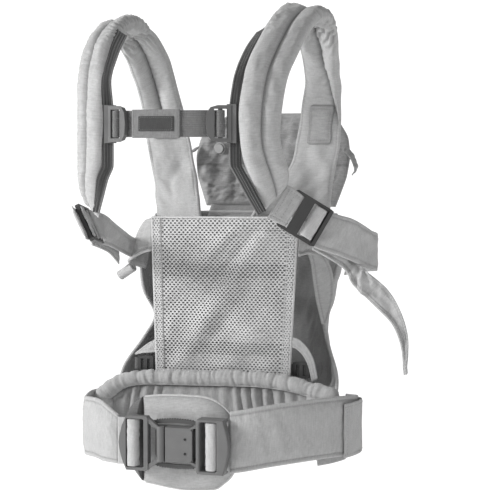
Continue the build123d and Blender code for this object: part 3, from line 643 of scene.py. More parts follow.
def make_belt():
    xs = np.linspace(-128, 131, 190)
    y = np.convolve(np.pad(belt_y(xs), 8, mode="edge"), np.ones(17) / 17, "valid")
    zt = np.convolve(np.pad(roll_z(xs), 6, mode="edge"), np.ones(13) / 13, "valid")
    A = np.stack([xs, y, np.full_like(xs, -30)], 1)
    B = np.stack([xs, y, zt - 6.0], 1)
    st = strip_pts(A, B, nq=44, away=(0, 200, 0))
    S, Q, Wd = st["S"], st["Q"], st["Wd"]
    d, e = edge_d(st)
    # soft vertical pleats of the lining, stronger at the two sides
    X = st["P"][..., 0]
    pl = np.zeros_like(X)
    for c, w, a in ((-106, 3.4, 2.4), (-96, 3, 2.8), (-82, 4, 2.2), (-72, 3.4, 1.8), (10, 5, 1.6), (21, 3.4, 2.8), (32, 3.2, 3.0), (43, 3.6, 3.0), (55, 3.4, 2.6), (68, 4, 2.2), (82, 5, 1.6), (97, 4, 1.8), (110, 4, 1.4)):
        t = X + 9 * (Q - 0.5) * np.sign(c)
        pl += a * bump(t, c, w)
        pl -= a * 1.1 * bump(t, c + w * 1.55, w * 0.42)
    base = 6.0 * dome(d, 8) * dome(e, 9)
    wr = 0.5 * field(S, Q * Wd, 16, 60, 3) + 0.25 * field(S, Q * Wd, 7, 30, 4)
    hf = base + (pl + wr) * smooth(d, 0, 6) * smooth(e, 0, 8) - 1.0 * bump(Q * Wd, Wd - 8, 2.2)
    hb = base + 0.5 * field(S, Q * Wd, 30, 30, 5) * smooth(d, 0, 6)
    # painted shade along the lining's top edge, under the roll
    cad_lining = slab("belt_lining", st, hf, hb, LINING, held=None, repl=["belt_panel"], slot="heather_fabric", seam=0.6 * bump(Q * Wd, Wd - 3, 3.0))

    # padded roll along the top
    cx = np.linspace(-126, 129, 110)
    path = np.stack([cx, np.interp(cx, xs, y) - 5.0, np.interp(cx, xs, zt) + 0.0], 1)
    # the left end turns down in front of the lining's edge
    path = np.vstack([path[0] + [(3.5, 2.0, -17), (1.8, 1.2, -9)], path])

    def rad(s, a):
        L = s.max()
        e = np.minimum(s, L - s)
        r = 7.9 * (0.45 + 0.55 * dome(e, 11)) + 2.2 * bump(s, 14, 12)
        r = r + 0.4 * field(s, np.sin(a) * 8, 22, 30, 7) + 0.3 * field(s, np.sin(a) * 8, 8, 20, 8)
        # sharp little gathers across the roll, as a tube of cloth drawn round a core
        g = np.zeros(np.broadcast(s, a).shape)
        rr = np.random.RandomState(5)
        for c in np.cumsum(rr.uniform(5, 12, 32)):
            g = g - rr.uniform(0.6, 1.7) * bump(s + 1.8 * np.sin(a + rr.uniform(0, 6)), c, rr.uniform(0.9, 1.8)) * (0.55 + 0.45 * np.cos(a - rr.uniform(2.4, 4.2)))
        return r + g

    roll = tube("belt_roll", path, 8.0, HEATHER, step=1.2, ring=48, rad=rad, repl=["bolster_roll"], slot="heather_fabric", up=(0, 0, 1))
    # seam cord under the roll
    p = path.copy()
    p[:, 2] -= 7.4
    p[:, 1] -= 2.6
    tube("belt_roll_seam", p[4:-4], 0.9, PIPING, step=2, ring=8)
    # sewn end patch on the right, with a light piping round it
    n = [(97, 25.6, 31.5), (112, 23.2, 32.5), (124, 20.8, 30.5), (134.5, 17.6, 27.0)]
    w = [(97, 24.2, 12.5), (111, 21.8, 9.0), (123, 19.4, 3.0), (132.5, 16.6, -4.0)]
    sp = strip(n, w, step=1.2, nq=26, away=(100, 200, 20))
    h = hemmed(sp, 2.4, 33, 0.35, 2.6)
    slab("belt_end_patch", sp, h, hemmed(sp, 2.0, 34, 0.1, 2.6), HEATHER, slot="heather_fabric")
    lo, _ = line_at(sp, 1.0)
    lf, _ = across(sp, 0.0, 0.0, 1.0)
    tube("belt_end_piping", np.vstack([lf, lo]), 0.95, PIPING, step=1.6, ring=8, slot="heather_fabric")
    return st


make_belt()

WH = 30.0
RIGHT_MID = [(51, -84.5, 0), (66, -81.5, 2.5), (84, -74, 5.8), (104, -61, 8.3), (124, -40, 9.5), (139, -14, 8.6), (146.5, 9, 6.5), (148, 24, 4.8), (143.5, 31.5, 4), (134.5, 33.5, 4)]
LEFT_MID = [(-62.5, -85, -3), (-76, -80.5, 1), (-92, -70, 4), (-108, -54, 2.5), (-120, -34, -0.5), (-129, -10, -2.5), (-134, 6, -3), (-135, 18, -2.5), (-131.5, 28.5, -2)]


def strap_face(st, t, seed, wave=0.45, hem=4.2, quilt=0.9):
    """Heights of a padded flat strap: rounded edges, stitched hem line and gentle waves."""
    d, e = edge_d(st)
    h = t / 2 * dome(d, 1.8) * dome(e + 0.05, 1.8)
    h = h + quilt * smooth(d, hem, hem + 9) * smooth(e, 2, 9)
    h = h - 0.55 * bump(d, hem, 0.9)
    h = h + wave * field(st["S"], st["Q"] * st["Wd"], 34, 40, seed) * smooth(d, 0, 10)
    h = h + 0.18 * field(st["S"], st["Q"] * st["Wd"], 9, 14, seed + 1) * smooth(d, 1, 6)
    # tiny puckers where the hem is sewn
    h = h + 0.22 * np.sin(2 * np.pi * st["S"] / 6.2 + 3 * field(st["S"], 0 * st["S"], 40, 40, seed + 2)) * bump(d, hem + 1.4, 1.9)
    return h


def make_waist():
    m = cat(RIGHT_MID)
    st = strip(m - vec(0, 0, WH), m + vec(0, 0, WH), step=1.6, nq=40, away=(0, 0, 0))
    st_r = st
    # painted shade along the two hem stitch grooves
    slab("waist_strap_right_cloth", st, strap_face(st, 4.0, 11), strap_face(st, 3.4, 21, 0.3) * 0.85, HEATHER, repl=["waist_strap_right"], slot="heather_fabric", seam=0.5 * bump(edge_d(st)[0], 4.2, 0.8))
    W = 60.0
    stitches("waist_strap_right_stitch", [line_at(st, 4.2 / W, 0.02), line_at(st, 1 - 4.2 / W, 0.02)], slot="heather_fabric")
    m = cat(LEFT_MID)
    x = m[:, 0]
    h = np.where(x < -84, WH, 24 + (WH - 24) * np.clip((-x - 62) / 22, 0, 1))[:, None]
    z = np.array([[0, 0, 1.0]])
    st = strip(m - z * h, m + z * h, step=1.6, nq=40, away=(0, 0, 0))
    # painted shade along the two hem stitch grooves
    slab("waist_strap_left_cloth", st, strap_face(st, 4.0, 31), strap_face(st, 3.4, 41, 0.3) * 0.85, HEATHER, repl=["waist_strap_left"], slot="heather_fabric", seam=0.5 * bump(edge_d(st)[0], 4.2, 0.8))
    s2 = stitches("waist_strap_left_stitch", [line_at(st, 4.2 / W, 0.02), line_at(st, 1 - 4.2 / W, 0.02)], slot="heather_fabric")
    return st_r, st, s2


WAIST_R, WAIST_L, WAIST_L_ST = make_waist()


def make_keeper():
    ko = cat([(145.4, -14, 0), (150.8, 4, 0), (152.6, 21, 0), (149.8, 33.6, 0), (140.6, 39.0, 0)])
    st = strip(ko + vec(0, 0, -22.5), ko + vec(0, 0, 31), step=1.3, nq=40, away=(0, 0, 0))
    d, e = edge_d(st)
    base = 1.1 * dome(d, 1.0) * dome(e + 0.05, 1.2) + 0.25 * field(st["S"], st["Q"] * st["Wd"], 18, 24, 61) * smooth(d, 0, 6)
    slab("hip_keeper_cloth", st, base + 0.5 * bump(e, 2.4, 1.5), base, HEATHER, repl=["hip_keeper_right"], slot="heather_fabric")
    stitches("hip_keeper_stitch", [line_at(st, 0.06, 0.02), line_at(st, 0.94, 0.02), across(st, 4.5, 0.05, 0.95, 0.02)], slot="heather_fabric")
    fl = [(124, -34.0), (132, -20.5), (138.5, -4), (141.5, 8)]
    a = [(q[0], q[1], -27.5) for q in fl]
    b = [(q[0] - 2.0, q[1] + 1.5, -18.0) for q in fl]
    st = strip(a, b, step=1.2, nq=14, away=(0, 0, 0))
    h = flat(st, 1.6) + 0.15 * field(st["S"], st["Q"] * st["Wd"], 8, 8, 65)
    slab("hip_flap_cloth", st, h, flat(st, 1.4), HEATHER, repl=["hip_flap_right"], slot="heather_fabric")


make_keeper()

LUM = [(-43, 38), (-20, 40.5), (18, 40.5), (36, 35), (48, 24), (54, 8), (55, -12), (50, -32), (40, -43), (28, -49.5), (-4, -51), (-43, -46)]
LUM_L = [(-43.4, 38), (-43.4, -46), (-50, -38), (-60, -24), (-63, -8), (-63, 10), (-58, 25), (-50, 34)]


def closed_curve(pts, n, corner=()):
    """Closed smooth outline through points; corner indices stay sharp."""
    p = np.asarray(pts, float)
    k = len(p)
    segs = []
    for i in range(k):
        a, b, c, d = p[(i - 1) % k], p[i], p[(i + 1) % k], p[(i + 2) % k]
        if i in corner:
            a = 2 * b - c
        if (i + 1) % k in corner:
            d = 2 * c - b
        for t in np.linspace(0, 1, 16, endpoint=False):
            segs.append(0.5 * (2 * b + (c - a) * t + (2 * a - 5 * b + 4 * c - d) * t * t + (3 * b - 3 * c + d - a) * t ** 3))
    q = np.array(segs + [segs[0]])
    s = arc(q)
    return at(q, s, np.linspace(0, s[-1], n, endpoint=False))


def pillow(name, outline, y_front, y_back, mat, n=150, rings_=26, p=3.2, wob=0.5, seed=1, corner=(), side=3.0, **kw):
    """Crowned cushion with its outline in XZ: the front swells towards -Y and the back towards +Y."""
    o = closed_curve(outline, n, corner)
    c = o.mean(axis=0)
    ymid = y_back * 0.62 + y_front * 0.38
    r = 1 - (1 - np.linspace(0, 1, rings_)) ** 1.9
    V, F, seam = [], [], []
    for sgn, y1 in ((-1, y_front), (1, y_back)):
        for k in range(rings_):
            rr = r[k]
            pts = c + (o - c) * rr
            h = (1 - rr ** p) ** 0.5
            w = wob * field(pts[:, 0], pts[:, 1], 26, 30, seed) * (1 - rr ** 4) + wob * 0.5 * field(pts[:, 0], pts[:, 1], 9, 12, seed + 3) * (1 - rr ** 6)
            y = ymid + (y1 - ymid) * h + w * sgn * 0.8
            V.append(np.stack([pts[:, 0], y, pts[:, 1]], 1))
            # painted shade round the rim, where the two faces meet
            seam.append(np.full(n, 0.5 * rr ** 20))
    V = np.vstack(V)
    for half in (0, 1):
        b = half * rings_ * n
        for k in range(1, rings_ - 1):
            for j in range(n):
                j2 = (j + 1) % n
                F.append((b + k * n + j, b + k * n + j2, b + (k + 1) * n + j2, b + (k + 1) * n + j))
        cen = len(V)
        V = np.vstack([V, V[b:b + n].mean(axis=0)])
        seam.append(np.zeros(1))
        for j in range(n):
            F.append((cen, b + n + (j + 1) % n, b + n + j))
    # join the two rims
    a, b = (rings_ - 1) * n, (2 * rings_ - 1) * n
    for j in range(n):
        F.append((a + j, a + (j + 1) % n, b + (j + 1) % n, b + j))
    # drop the unused innermost rings
    used = np.zeros(len(V), bool)
    for q in F:
        used[list(q)] = True
    new = np.cumsum(used) - 1
    F = [tuple(new[i] for i in q) for q in F]
    painted_shade_mask = np.concatenate(seam)[used]
    V = V[used]
    ob = add(name, V, F, mat, uv=V[:, [0, 2]], seam=painted_shade_mask, **kw)
    rim = np.stack([o[:, 0], np.full(n, ymid), o[:, 1]], 1)
    bm = bmesh.new()
    bm.from_mesh(ob.data)
    bmesh.ops.remove_doubles(bm, verts=bm.verts, dist=1e-6)
    bmesh.ops.recalc_face_normals(bm, faces=bm.faces)
    bm.to_mesh(ob.data)
    bm.free()
    return ob, rim


def make_lumbar():
    ob, rim = pillow("lumbar_cushion", LUM, -80.5, -61, HEATHER, seed=71, corner=(0, 11), p=5.0, wob=0.45, repl=["lumbar_pad"], slot="heather_fabric")
    i = np.array(rim)
    # piping round the free edge
    k = [j for j in range(len(i)) if i[j][0] > -42.8]
    start = int(np.argmin([abs(p[0] + 43) + (0 if p[2] > 0 else 500) for p in i]))
    loop = np.roll(i, -start, axis=0)
    loop = loop[[p[0] > -42.9 for p in loop]]
    c = loop.mean(axis=0)
    loop = c + (loop - c) * 0.995
    loop[:, 1] -= 2.2
    tube("lumbar_piping", loop, 1.15, PIPING, step=1.5, ring=10, slot="heather_fabric")
    ob2, rim2 = pillow("lumbar_dark_panel", LUM_L, -79.5, -62, DARKPANEL, seed=75, corner=(0, 1), p=5.0, wob=0.3, repl=["lumbar_side_panel"], slot="lining_fabric")


make_lumbar()

# =====================================================================
# Waist buckle: CAD plastic, and the webbing loops round its bars
# =====================================================================
BX, BZ = -2.0, -3.0


def make_loops():
    """Cloth turned round the two strap bars: rounded pillow bars in front, doubled cloth behind."""
    for name, bar, tail, body, node in (("tongue_loop_cloth", -42.5, -60.2, "buckle_tongue", "tongue_loop"), ("socket_loop_cloth", 38.0, 52.6, "carrier", "socket_loop")):
        s = -1 if tail < bar else 1
        x = BX + bar
        xt = BX + tail
        path = [(xt, -89.3), (x + s * 9, -89.4), (x + s * 5.4, -90.2), (x + s * 5.0, -94.0), (x + s * 3.4, -97.6), (x, -98.6), (x - s * 3.4, -97.6), (x - s * 5.0, -94.0), (x - s * 4.2, -91.2), (x - s * 1.2, -90.3)]
        p = [(a, b, BZ) for a, b in path]
        st = ribbon_strip(p, (0, 0, 1), 46, step=0.7, nq=34, away=(x, -94.0, BZ))
        h = 1.1 * dome(edge_d(st)[0], 1.1) * dome(edge_d(st)[1] + 0.05, 1.0)
        h = h + 0.16 * field(st["S"], st["Q"] * st["Wd"], 9, 9, 81) * smooth(edge_d(st)[0], 0, 4)
        o = slab(name, st, h, h, LIGHT, repl=[node], slot="heather_fabric", body=body)


make_loops()
for n in ("buckle_tongue", "buckle_socket"):
    NODES[n].data.materials.clear()
    NODES[n].data.materials.append(BUCKLE)
for n in ("release_arm_upper", "release_arm_lower"):
    NODES[n].data.materials.clear()
    NODES[n].data.materials.append(BUCKLE_DARK)
for n, m in (("buckle_rivets", RIVET), ("chest_slider_left", SLIDER), ("chest_slider_right", SLIDER), ("shoulder_adjuster_left", ADJUST), ("shoulder_adjuster_right", ADJUST), ("seat_adjuster_left", ADJUST), ("seat_adjuster_right", ADJUST), ("snap_caps", SNAP)):
    NODES[n].data.materials.clear()
    NODES[n].data.materials.append(m)

# =====================================================================
# Shoulder pads, rails and anchor straps
# =====================================================================
PAD_I = [(84, -80, 222), (80, -88, 236), (75.8, -99.4, 252.6), (71.4, -105.5, 269.6), (69.2, -108.5, 288.4), (68, -108.7, 316.4), (69.4, -102.2, 344.7), (71.5, -89, 364), (74, -72, 380),
         (76, -48, 397.5), (78, -20, 411), (79, 8, 416), (78.3, 36, 412), (76, 62, 399.5), (74, 82, 381)]
PAD_O = [(103, -70, 246), (105.5, -73, 253), (106.5, -78, 262), (104.5, -84, 274), (102.3, -89.5, 291), (103.3, -87.1, 316.9), (106.3, -78.8, 345.6), (110.5, -62, 367), (113, -44, 383),
         (116, -22, 399), (119, 2, 409), (121, 25, 409), (121, 46, 399), (118.5, 64, 383), (115.5, 76, 366)]
PAD_I_L = [(83.5, -84, 213), (80, -92, 232)] + PAD_I[2:9] + [(75.5, -48, 394), (76.5, -20, 405), (77.2, 8, 409), (77, 36, 405.5), (75.6, 62, 395), (74, 82, 380)]
PAD_O_L = [(103.5, -67, 229), (103.5, -73, 243), (104, -80, 258), (102, -84, 274), (99.8, -89.5, 291), (100.8, -87.1, 316.9), (103.8, -78.8, 345.6), (108, -62, 367), (110.5, -44, 381),
           (112.5, -22, 393.5), (114.5, 2, 401), (116, 25, 400), (116.5, 46, 391), (116, 64, 379), (115.0, 76, 366)]
STRAP_I = [(73.5, 86.5, 375), (73, 96, 362), (71.5, 103, 347), (66.3, 108.2, 321.2), (60, 112, 289.3), (55, 110, 266), (46, 97, 246), (35, 69, 228), (24, 47.5, 202)]
STRAP_O = [(115.3, 79.5, 361), (114, 86, 352), (112.8, 93, 340), (110.8, 102.5, 318), (108.6, 107.3, 289.3), (104.6, 109.2, 266), (100.5, 110, 246), (98, 111, 226), (97, 112, 206)]
RAIL_A = [(85.5, -87.5, 222), (79, -96, 238), (73, -101.5, 252), (68.5, -105.6, 262), (67.2, -106.4, 268), (67.2, -106.4, 342), (68.5, -101, 352), (70.0, -91, 363), (72.5, -74, 379), (74.5, -52, 393.5)]
RAIL_B = [(79, -82.5, 218), (72, -91.5, 234), (65.5, -98.5, 249.5), (60.8, -104.4, 261), (59.0, -106.4, 268), (59.0, -106.4, 342), (60.2, -101, 351), (61.5, -90, 361), (64.0, -74, 375), (66.5, -52, 389)]
LOOP_C = {"right": (92, 0, 310), "left": (-92, 0, 310)}


def make_pad(side):
    mx = (lambda p: np.array(p, float)) if side == "right" else mirror
    I, O = (PAD_I, PAD_O) if side == "right" else (PAD_I_L, PAD_O_L)
    st = strip(mx(I[:-2]), mx(O[:-2]), step=1.5, nq=60, away=LOOP_C[side])
    S, Q, Wd = st["S"], st["Q"], st["Wd"]
    L = st["L"]
    d, e = edge_d(st)
    x = Q * Wd
    seed = 100 if side == "right" else 140
    # two stuffed channels either side of a sewn seam
    mid = 0.52 * Wd
    dc = np.minimum(d, abs(x - mid))
    h = 7.6 * dome(d, 9.5)
    h = h * (1 - 0.60 * np.exp(-(abs(x - mid) / 2.4) ** 1.3)) + 0.9 * np.clip(dc / 9, 0, 1)
    end = smooth(L - S, 0, 16)
    low = smooth(S, 0, 20)
    h = h * (0.55 + 0.45 * end) * (0.55 + 0.45 * low) * dome(e + 0.1, 5)
    # cloth waves along the channels, and puckers along the seam and the edges
    h = h + (0.35 * field(S, x, 30, 22, seed) + 0.22 * field(S, x, 11, 14, seed + 1)) * smooth(d, 1, 7) * smooth(abs(x - mid), 0, 5)
    ph = 2.2 * field(S, 0 * S, 30, 30, seed + 2)
    h = h + 0.20 * np.sin(2 * np.pi * S / 5.4 + ph) * bump(abs(x - mid), 3.0, 2.0)
    h = h + 0.35 * np.sin(2 * np.pi * S / 6.0 + ph + 1) * np.exp(-d / 3.5) * smooth(d, 0.2, 1.5)
    # gathers at the crest, where the edge is drawn in
    top = smooth(S, 0.60 * L, 0.74 * L)
    gi = np.exp(-(x / 13.0) ** 2) * top
    go = np.exp(-((Wd - x) / 12.0) ** 2) * smooth(S, 0.70 * L, 0.82 * L)
    g1 = np.sin(2 * np.pi * (S + 0.25 * x) / 6.6 + 1.4 * field(S, x, 24, 18, seed + 5)) + 0.5 * np.sin(2 * np.pi * S / 4.1 + 1.0 * field(S, x, 14, 14, seed + 6))
    gv = np.clip(-g1, 0, 1.5) / 1.5
    h = h + (1.5 * gi + 1.6 * go) * g1
    h = np.maximum(h, 0.35)
    hb = 6.2 * dome(d, 8) * (0.55 + 0.45 * end) * (0.55 + 0.45 * low) * dome(e + 0.1, 5) + 0.35 * field(S, x, 24, 20, seed + 8) * smooth(d, 1, 7)
    hb = hb - 3.2 * np.exp(-(abs(x - mid) / 2.4) ** 1.4) * smooth(e, 2, 12) + (1.7 * gi + 1.7 * go) * g1
    hb = np.maximum(hb, 0.35)
    # painted shade in the middle seam's groove and in the valleys of the gathers
    painted_shade_mask = np.clip(0.9 * np.exp(-(abs(x - mid) / 1.1) ** 2) + 0.7 * gv * (gi + go), 0, 1)
    o = slab(f"shoulder_pad_{side}_cover", st, h, hb, HEATHER, held=None, repl=[f"shoulder_pad_{side}"], slot="heather_fabric", seam=painted_shade_mask)
    # points along one long edge; no cord is built from them
    p, n = line_at(st, 1.0)
    return st


PADS = {s: make_pad(s) for s in ("right", "left")}


def make_rail(side):
    mx = (lambda p: np.array(p, float)) if side == "right" else mirror
    ra = [list(p) for p in RAIL_A[:5]] + [(67.6, -107.2, 300), (67.4, -107.6, 322), (68.6, -104.2, 342), (70.2, -97.5, 354), (71.5, -89, 364), (74, -72, 380), (76, -48, 397)]
    rb = [list(p) for p in RAIL_B[:5]] + [(59.0, -106.4, 300), (59.2, -106.4, 320), (61.8, -104.6, 342), (62.8, -98.5, 353), (63.4, -90, 362), (65.0, -73, 376.5), (67.5, -50, 391)]
    if side == "left":
        ra[:3] = [(86.0, -86.2, 219), (80.2, -94.2, 234), (74.5, -102, 252)]
        rb[:3] = [(82.0, -87.5, 218), (74.5, -95.6, 232), (67.0, -101.0, 250.5)]
    a = np.array(ra, float)
    a[:, 0] += 1.8
    st = strip(mx(a), mx(rb), step=1.5, nq=26, away=LOOP_C[side])
    S, Q, Wd = st["S"], st["Q"], st["Wd"]
    d, e = edge_d(st)
    x = Q * Wd
    h = 1.15 * dome(d, 0.9) * dome(e + 0.05, 0.9)
    # a raised cord along the tape, 3.4 mm from its edge
    h = h + 0.5 * bump(x, 3.4, 0.9) * smooth(d, 0.3, 1.0)
    slab(f"pad_rail_{side}_tape", st, h, 1.1 * dome(d, 0.9) * dome(e + 0.05, 0.9), TAPE, repl=[f"pad_rail_{side}"], slot="dark_webbing")
    st2 = st
    # welt between tape and pad, in the tape's dark cloth
    p, n = line_at(st, 0.0)
    c = p + n * 0.2
    tube(f"pad_welt_{side}", c, 1.1, TAPE, step=1.6, ring=9, slot="heather_fabric")
    p, n = line_at(st, 1.0)
    tube(f"rail_bead_{side}", p + n * 0.2, 1.0, TAPE_LIGHT, step=1.6, ring=9, slot="dark_webbing")
    return st


RAILS = {s: make_rail(s) for s in ("right", "left")}


def make_anchor(side):
    mx = (lambda p: np.array(p, float)) if side == "right" else mirror
    if side == "right":
        si = [(78.8, 24, 413), (78.4, 38, 409.5), (76.8, 56, 401), (74.9, 72, 389.5)] + STRAP_I
        so = [(121.2, 32, 404), (120.8, 46, 397.5), (119, 60, 386), (117, 71, 373)] + STRAP_O
    else:
        si = [(77.0, 24, 405.5), (76.8, 38, 403), (75.9, 56, 396), (74.6, 72, 387)] + STRAP_I
        so = [(116.0, 32, 396.5), (116.2, 46, 389.5), (116.0, 60, 380.5), (115.7, 71, 371)] + STRAP_O
    st = strip(mx(si), mx(so), step=1.6, nq=70, away=(0, 60, 260), flip=True)
    # front is the face towards the wearer
    S, Q, Wd = st["S"], st["Q"], st["Wd"]
    L = st["L"]
    d, e = edge_d(st)
    x = Q * Wd
    seed = 200 if side == "right" else 240
    # two soft channels with a sharp crease between them; the crease starts at the pad's seam
    if side == "right":
        qc = np.interp(S, [0, 30, 60, 88, 112, 140], [0.48, 0.46, 0.50, 0.64, 0.80, 0.97])
        k = 1 - smooth(S, 112, 148)
    else:
        qc = np.interp(S, [0, 25, 60, 130], [0.50, 0.52, 0.53, 0.54])
        k = 1 - smooth(S, 110, 150)
    tt = np.where(Q < qc, Q / np.maximum(qc, 0.04), (1 - Q) / np.maximum(1 - qc, 0.04))
    crease = np.exp(-((1 - np.clip(tt, 0, 1)) * np.where(Q < qc, qc, 1 - qc) * Wd / 1.5) ** 1.1)
    puff = (1 - abs(2 * tt - 1) ** 2.4) ** 0.8
    shift = (-6.5 * np.clip(tt, 0, 1) ** 1.8 * smooth(S, 6, 34) + 4.6 * puff * smooth(S, 4, 30)) * k
    P2 = st["P"] + st["N"][:, None] * shift[..., None]
    P2 = P2 + st["N"][:, None] * (0.8 * field(S, x, 46, 34, seed) * smooth(e, 0, 20))[..., None]
    # soft diagonal folds where it widens at its lower end
    lowf = smooth(S, 0.60 * L, 0.76 * L)
    dg = x * 0.55 - S * 0.35
    P2 = P2 + st["N"][:, None] * (1.7 * np.sin(2 * np.pi * dg / 23 + 0.8 * field(S, x, 60, 40, seed + 3)) * lowf * smooth(e, 0, 14) * smooth(d, 0, 6))[..., None]
    st["P"] = P2
    t = 2.3 * dome(d, 1.8) * dome(e + 0.05, 1.8)
    top = np.exp(-((S - 14) / 22.0) ** 2)
    g1 = np.sin(2 * np.pi * (S * 0.35 + x) / 6.4 + 1.2 * field(S, x, 20, 18, seed + 9))
    gath = 1.5 * top * g1
    # short puckers along the crease
    pk = 0.8 * np.sin(2 * np.pi * S / 7.0 + 1.5 * field(S, x, 26, 30, seed + 7)) * np.exp(-((1 - tt) * 20 / 7.0) ** 2) * k
    h = t + 0.4 * smooth(d, 4, 10) - 0.30 * bump(d, 3.6, 0.8) + 0.15 * field(S, x, 9, 12, seed + 4) * smooth(d, 1, 5)
    h = h + 0.16 * np.sin(2 * np.pi * S / 5.8) * bump(d, 4.8, 1.6) - 0.9 * crease * k + (gath + pk) * smooth(d, 0, 3)
    h = np.maximum(h, 0.3)
    # painted shade along the hem grooves, in the crease and in the valleys of the gathers at the top
    painted_shade_mask = np.clip(0.25 * bump(d, 3.6, 0.7) + 0.95 * crease * k + 0.5 * top * np.clip(-g1, 0, 1), 0, 1)
    o = slab(f"anchor_strap_{side}_cloth", st, h, t, HEATHER, repl=[f"anchor_strap_{side}"], slot="heather_fabric", seam=painted_shade_mask)
    w = float(np.mean(st["w"]))
    stitches(f"anchor_strap_{side}_stitch", [line_at(st, 3.6 / w, 0.02, s0=30), line_at(st, 1 - 3.6 / w, 0.02, s0=30)], slot="heather_fabric")
    return st


ANCH = {s: make_anchor(s) for s in ("right", "left")}


def make_patch(side):
    """Rounded patch sewn on the anchor strap, on the face towards the wearer."""
    st = ANCH[side]
    qs = st["Q"][0]
    za, zb = (326, 285) if side == "right" else (323.5, 291)
    i0, i1 = int(np.argmin(abs(st["P"][:, 35, 2] - za))), int(np.argmin(abs(st["P"][:, 35, 2] - zb)))
    n, m = 40, 30
    G = np.empty((n, m, 3))
    Nn = np.empty((n, m, 3))
    ii = np.linspace(i0, i1, n)
    for a, i in enumerate(ii):
        k = int(i)
        f = i - k
        row = st["F"][k] * (1 - f) + st["F"][min(k + 1, len(st["F"]) - 1)] * f
        for b, q in enumerate(np.linspace(0.26, 0.82, m)):
            G[a, b] = [np.interp(q, qs, row[:, c]) for c in range(3)]
            Nn[a, b] = st["N"][k]
    # rounded corners: pull the corner points in
    u = np.linspace(-1, 1, n)[:, None] * np.ones((1, m))
    v = np.linspace(-1, 1, m)[None] * np.ones((n, 1))
    r = 0.30
    ex, ey = np.clip(abs(u) - (1 - r), 0, None) / r, np.clip(abs(v) - (1 - r), 0, None) / r
    rr = np.sqrt(ex ** 2 + ey ** 2)
    pull = np.where(rr > 1, 1 / np.maximum(rr, 1e-6), 1.0)
    uu = np.sign(u) * (np.minimum(abs(u), 1 - r) + ex * r * pull)
    vv = np.sign(v) * (np.minimum(abs(v), 1 - r) + ey * r * pull)
    fi, fj = (uu + 1) / 2 * (n - 1), (vv + 1) / 2 * (m - 1)
    i0_, j0_ = np.clip(fi.astype(int), 0, n - 2), np.clip(fj.astype(int), 0, m - 2)
    a, b = (fi - i0_)[..., None], (fj - j0_)[..., None]
    G2 = G[i0_, j0_] * (1 - a) * (1 - b) + G[i0_ + 1, j0_] * a * (1 - b) + G[i0_, j0_ + 1] * (1 - a) * b + G[i0_ + 1, j0_ + 1] * a * b
    ed = np.minimum(1 - abs(u), 1 - abs(v)) * 11
    top = G2 + Nn * (0.2 + 1.9 * dome(ed, 1.4) - 0.4 * bump(ed, 2.3, 0.6) + 0.4 * smooth(ed, 3, 6))[..., None]
    bot = G2 - Nn * 0.35
    v_, f_ = shell(top, bot)
    uv = np.stack([v * 11, u * 20], -1).reshape(-1, 2)
    # painted shade round the patch's edge and along its stitch groove
    o = add(f"strap_patch_{side}_cloth", v_, f_, PATCH, seam=np.r_[(0.5 * bump(ed, 0.2, 0.8) + 0.3 * bump(ed, 2.4, 0.5)).ravel(), 0 * ed.ravel()], repl=[f"strap_patch_{side}"], slot="heather_fabric", uv=np.vstack([uv, uv]))
    ring = [(top[int(round(y)), int(round(x))], Nn[int(round(y)), int(round(x))]) for y, x in
            [(3, k) for k in range(4, m - 4)] + [(k, m - 4) for k in range(4, n - 4)] + [(n - 4, k) for k in range(m - 5, 3, -1)] + [(k, 3) for k in range(n - 5, 3, -1)]]
    stitches(f"strap_patch_{side}_stitch", [(np.array([r[0] for r in ring]), np.array([r[1] for r in ring]))], pitch=2.6, length=1.8, r=0.28, slot="heather_fabric")


for s in ("right", "left"):
    make_patch(s)

# =====================================================================
# Chest strap
# =====================================================================
CZ = 303.5
CT = math.radians(25)


def web_path(sign):
    o = vec(sign * 58.6, -108.2, 0)
    u = vec(-sign * math.cos(CT), -math.sin(CT), 0)
    n = vec(sign * math.sin(CT), -math.cos(CT), 0)
    loc = [(4.6, -1.3), (5.4, 1.6), (6.4, 4.6), (8.6, 5.4), (10.8, 4.6), (12.0, 1.6), (12.7, -1.2), (14.4, -2.2), (16, -2.4), (21.5, -2.2)]
    return [o + u * a + n * b for a, b in loc]


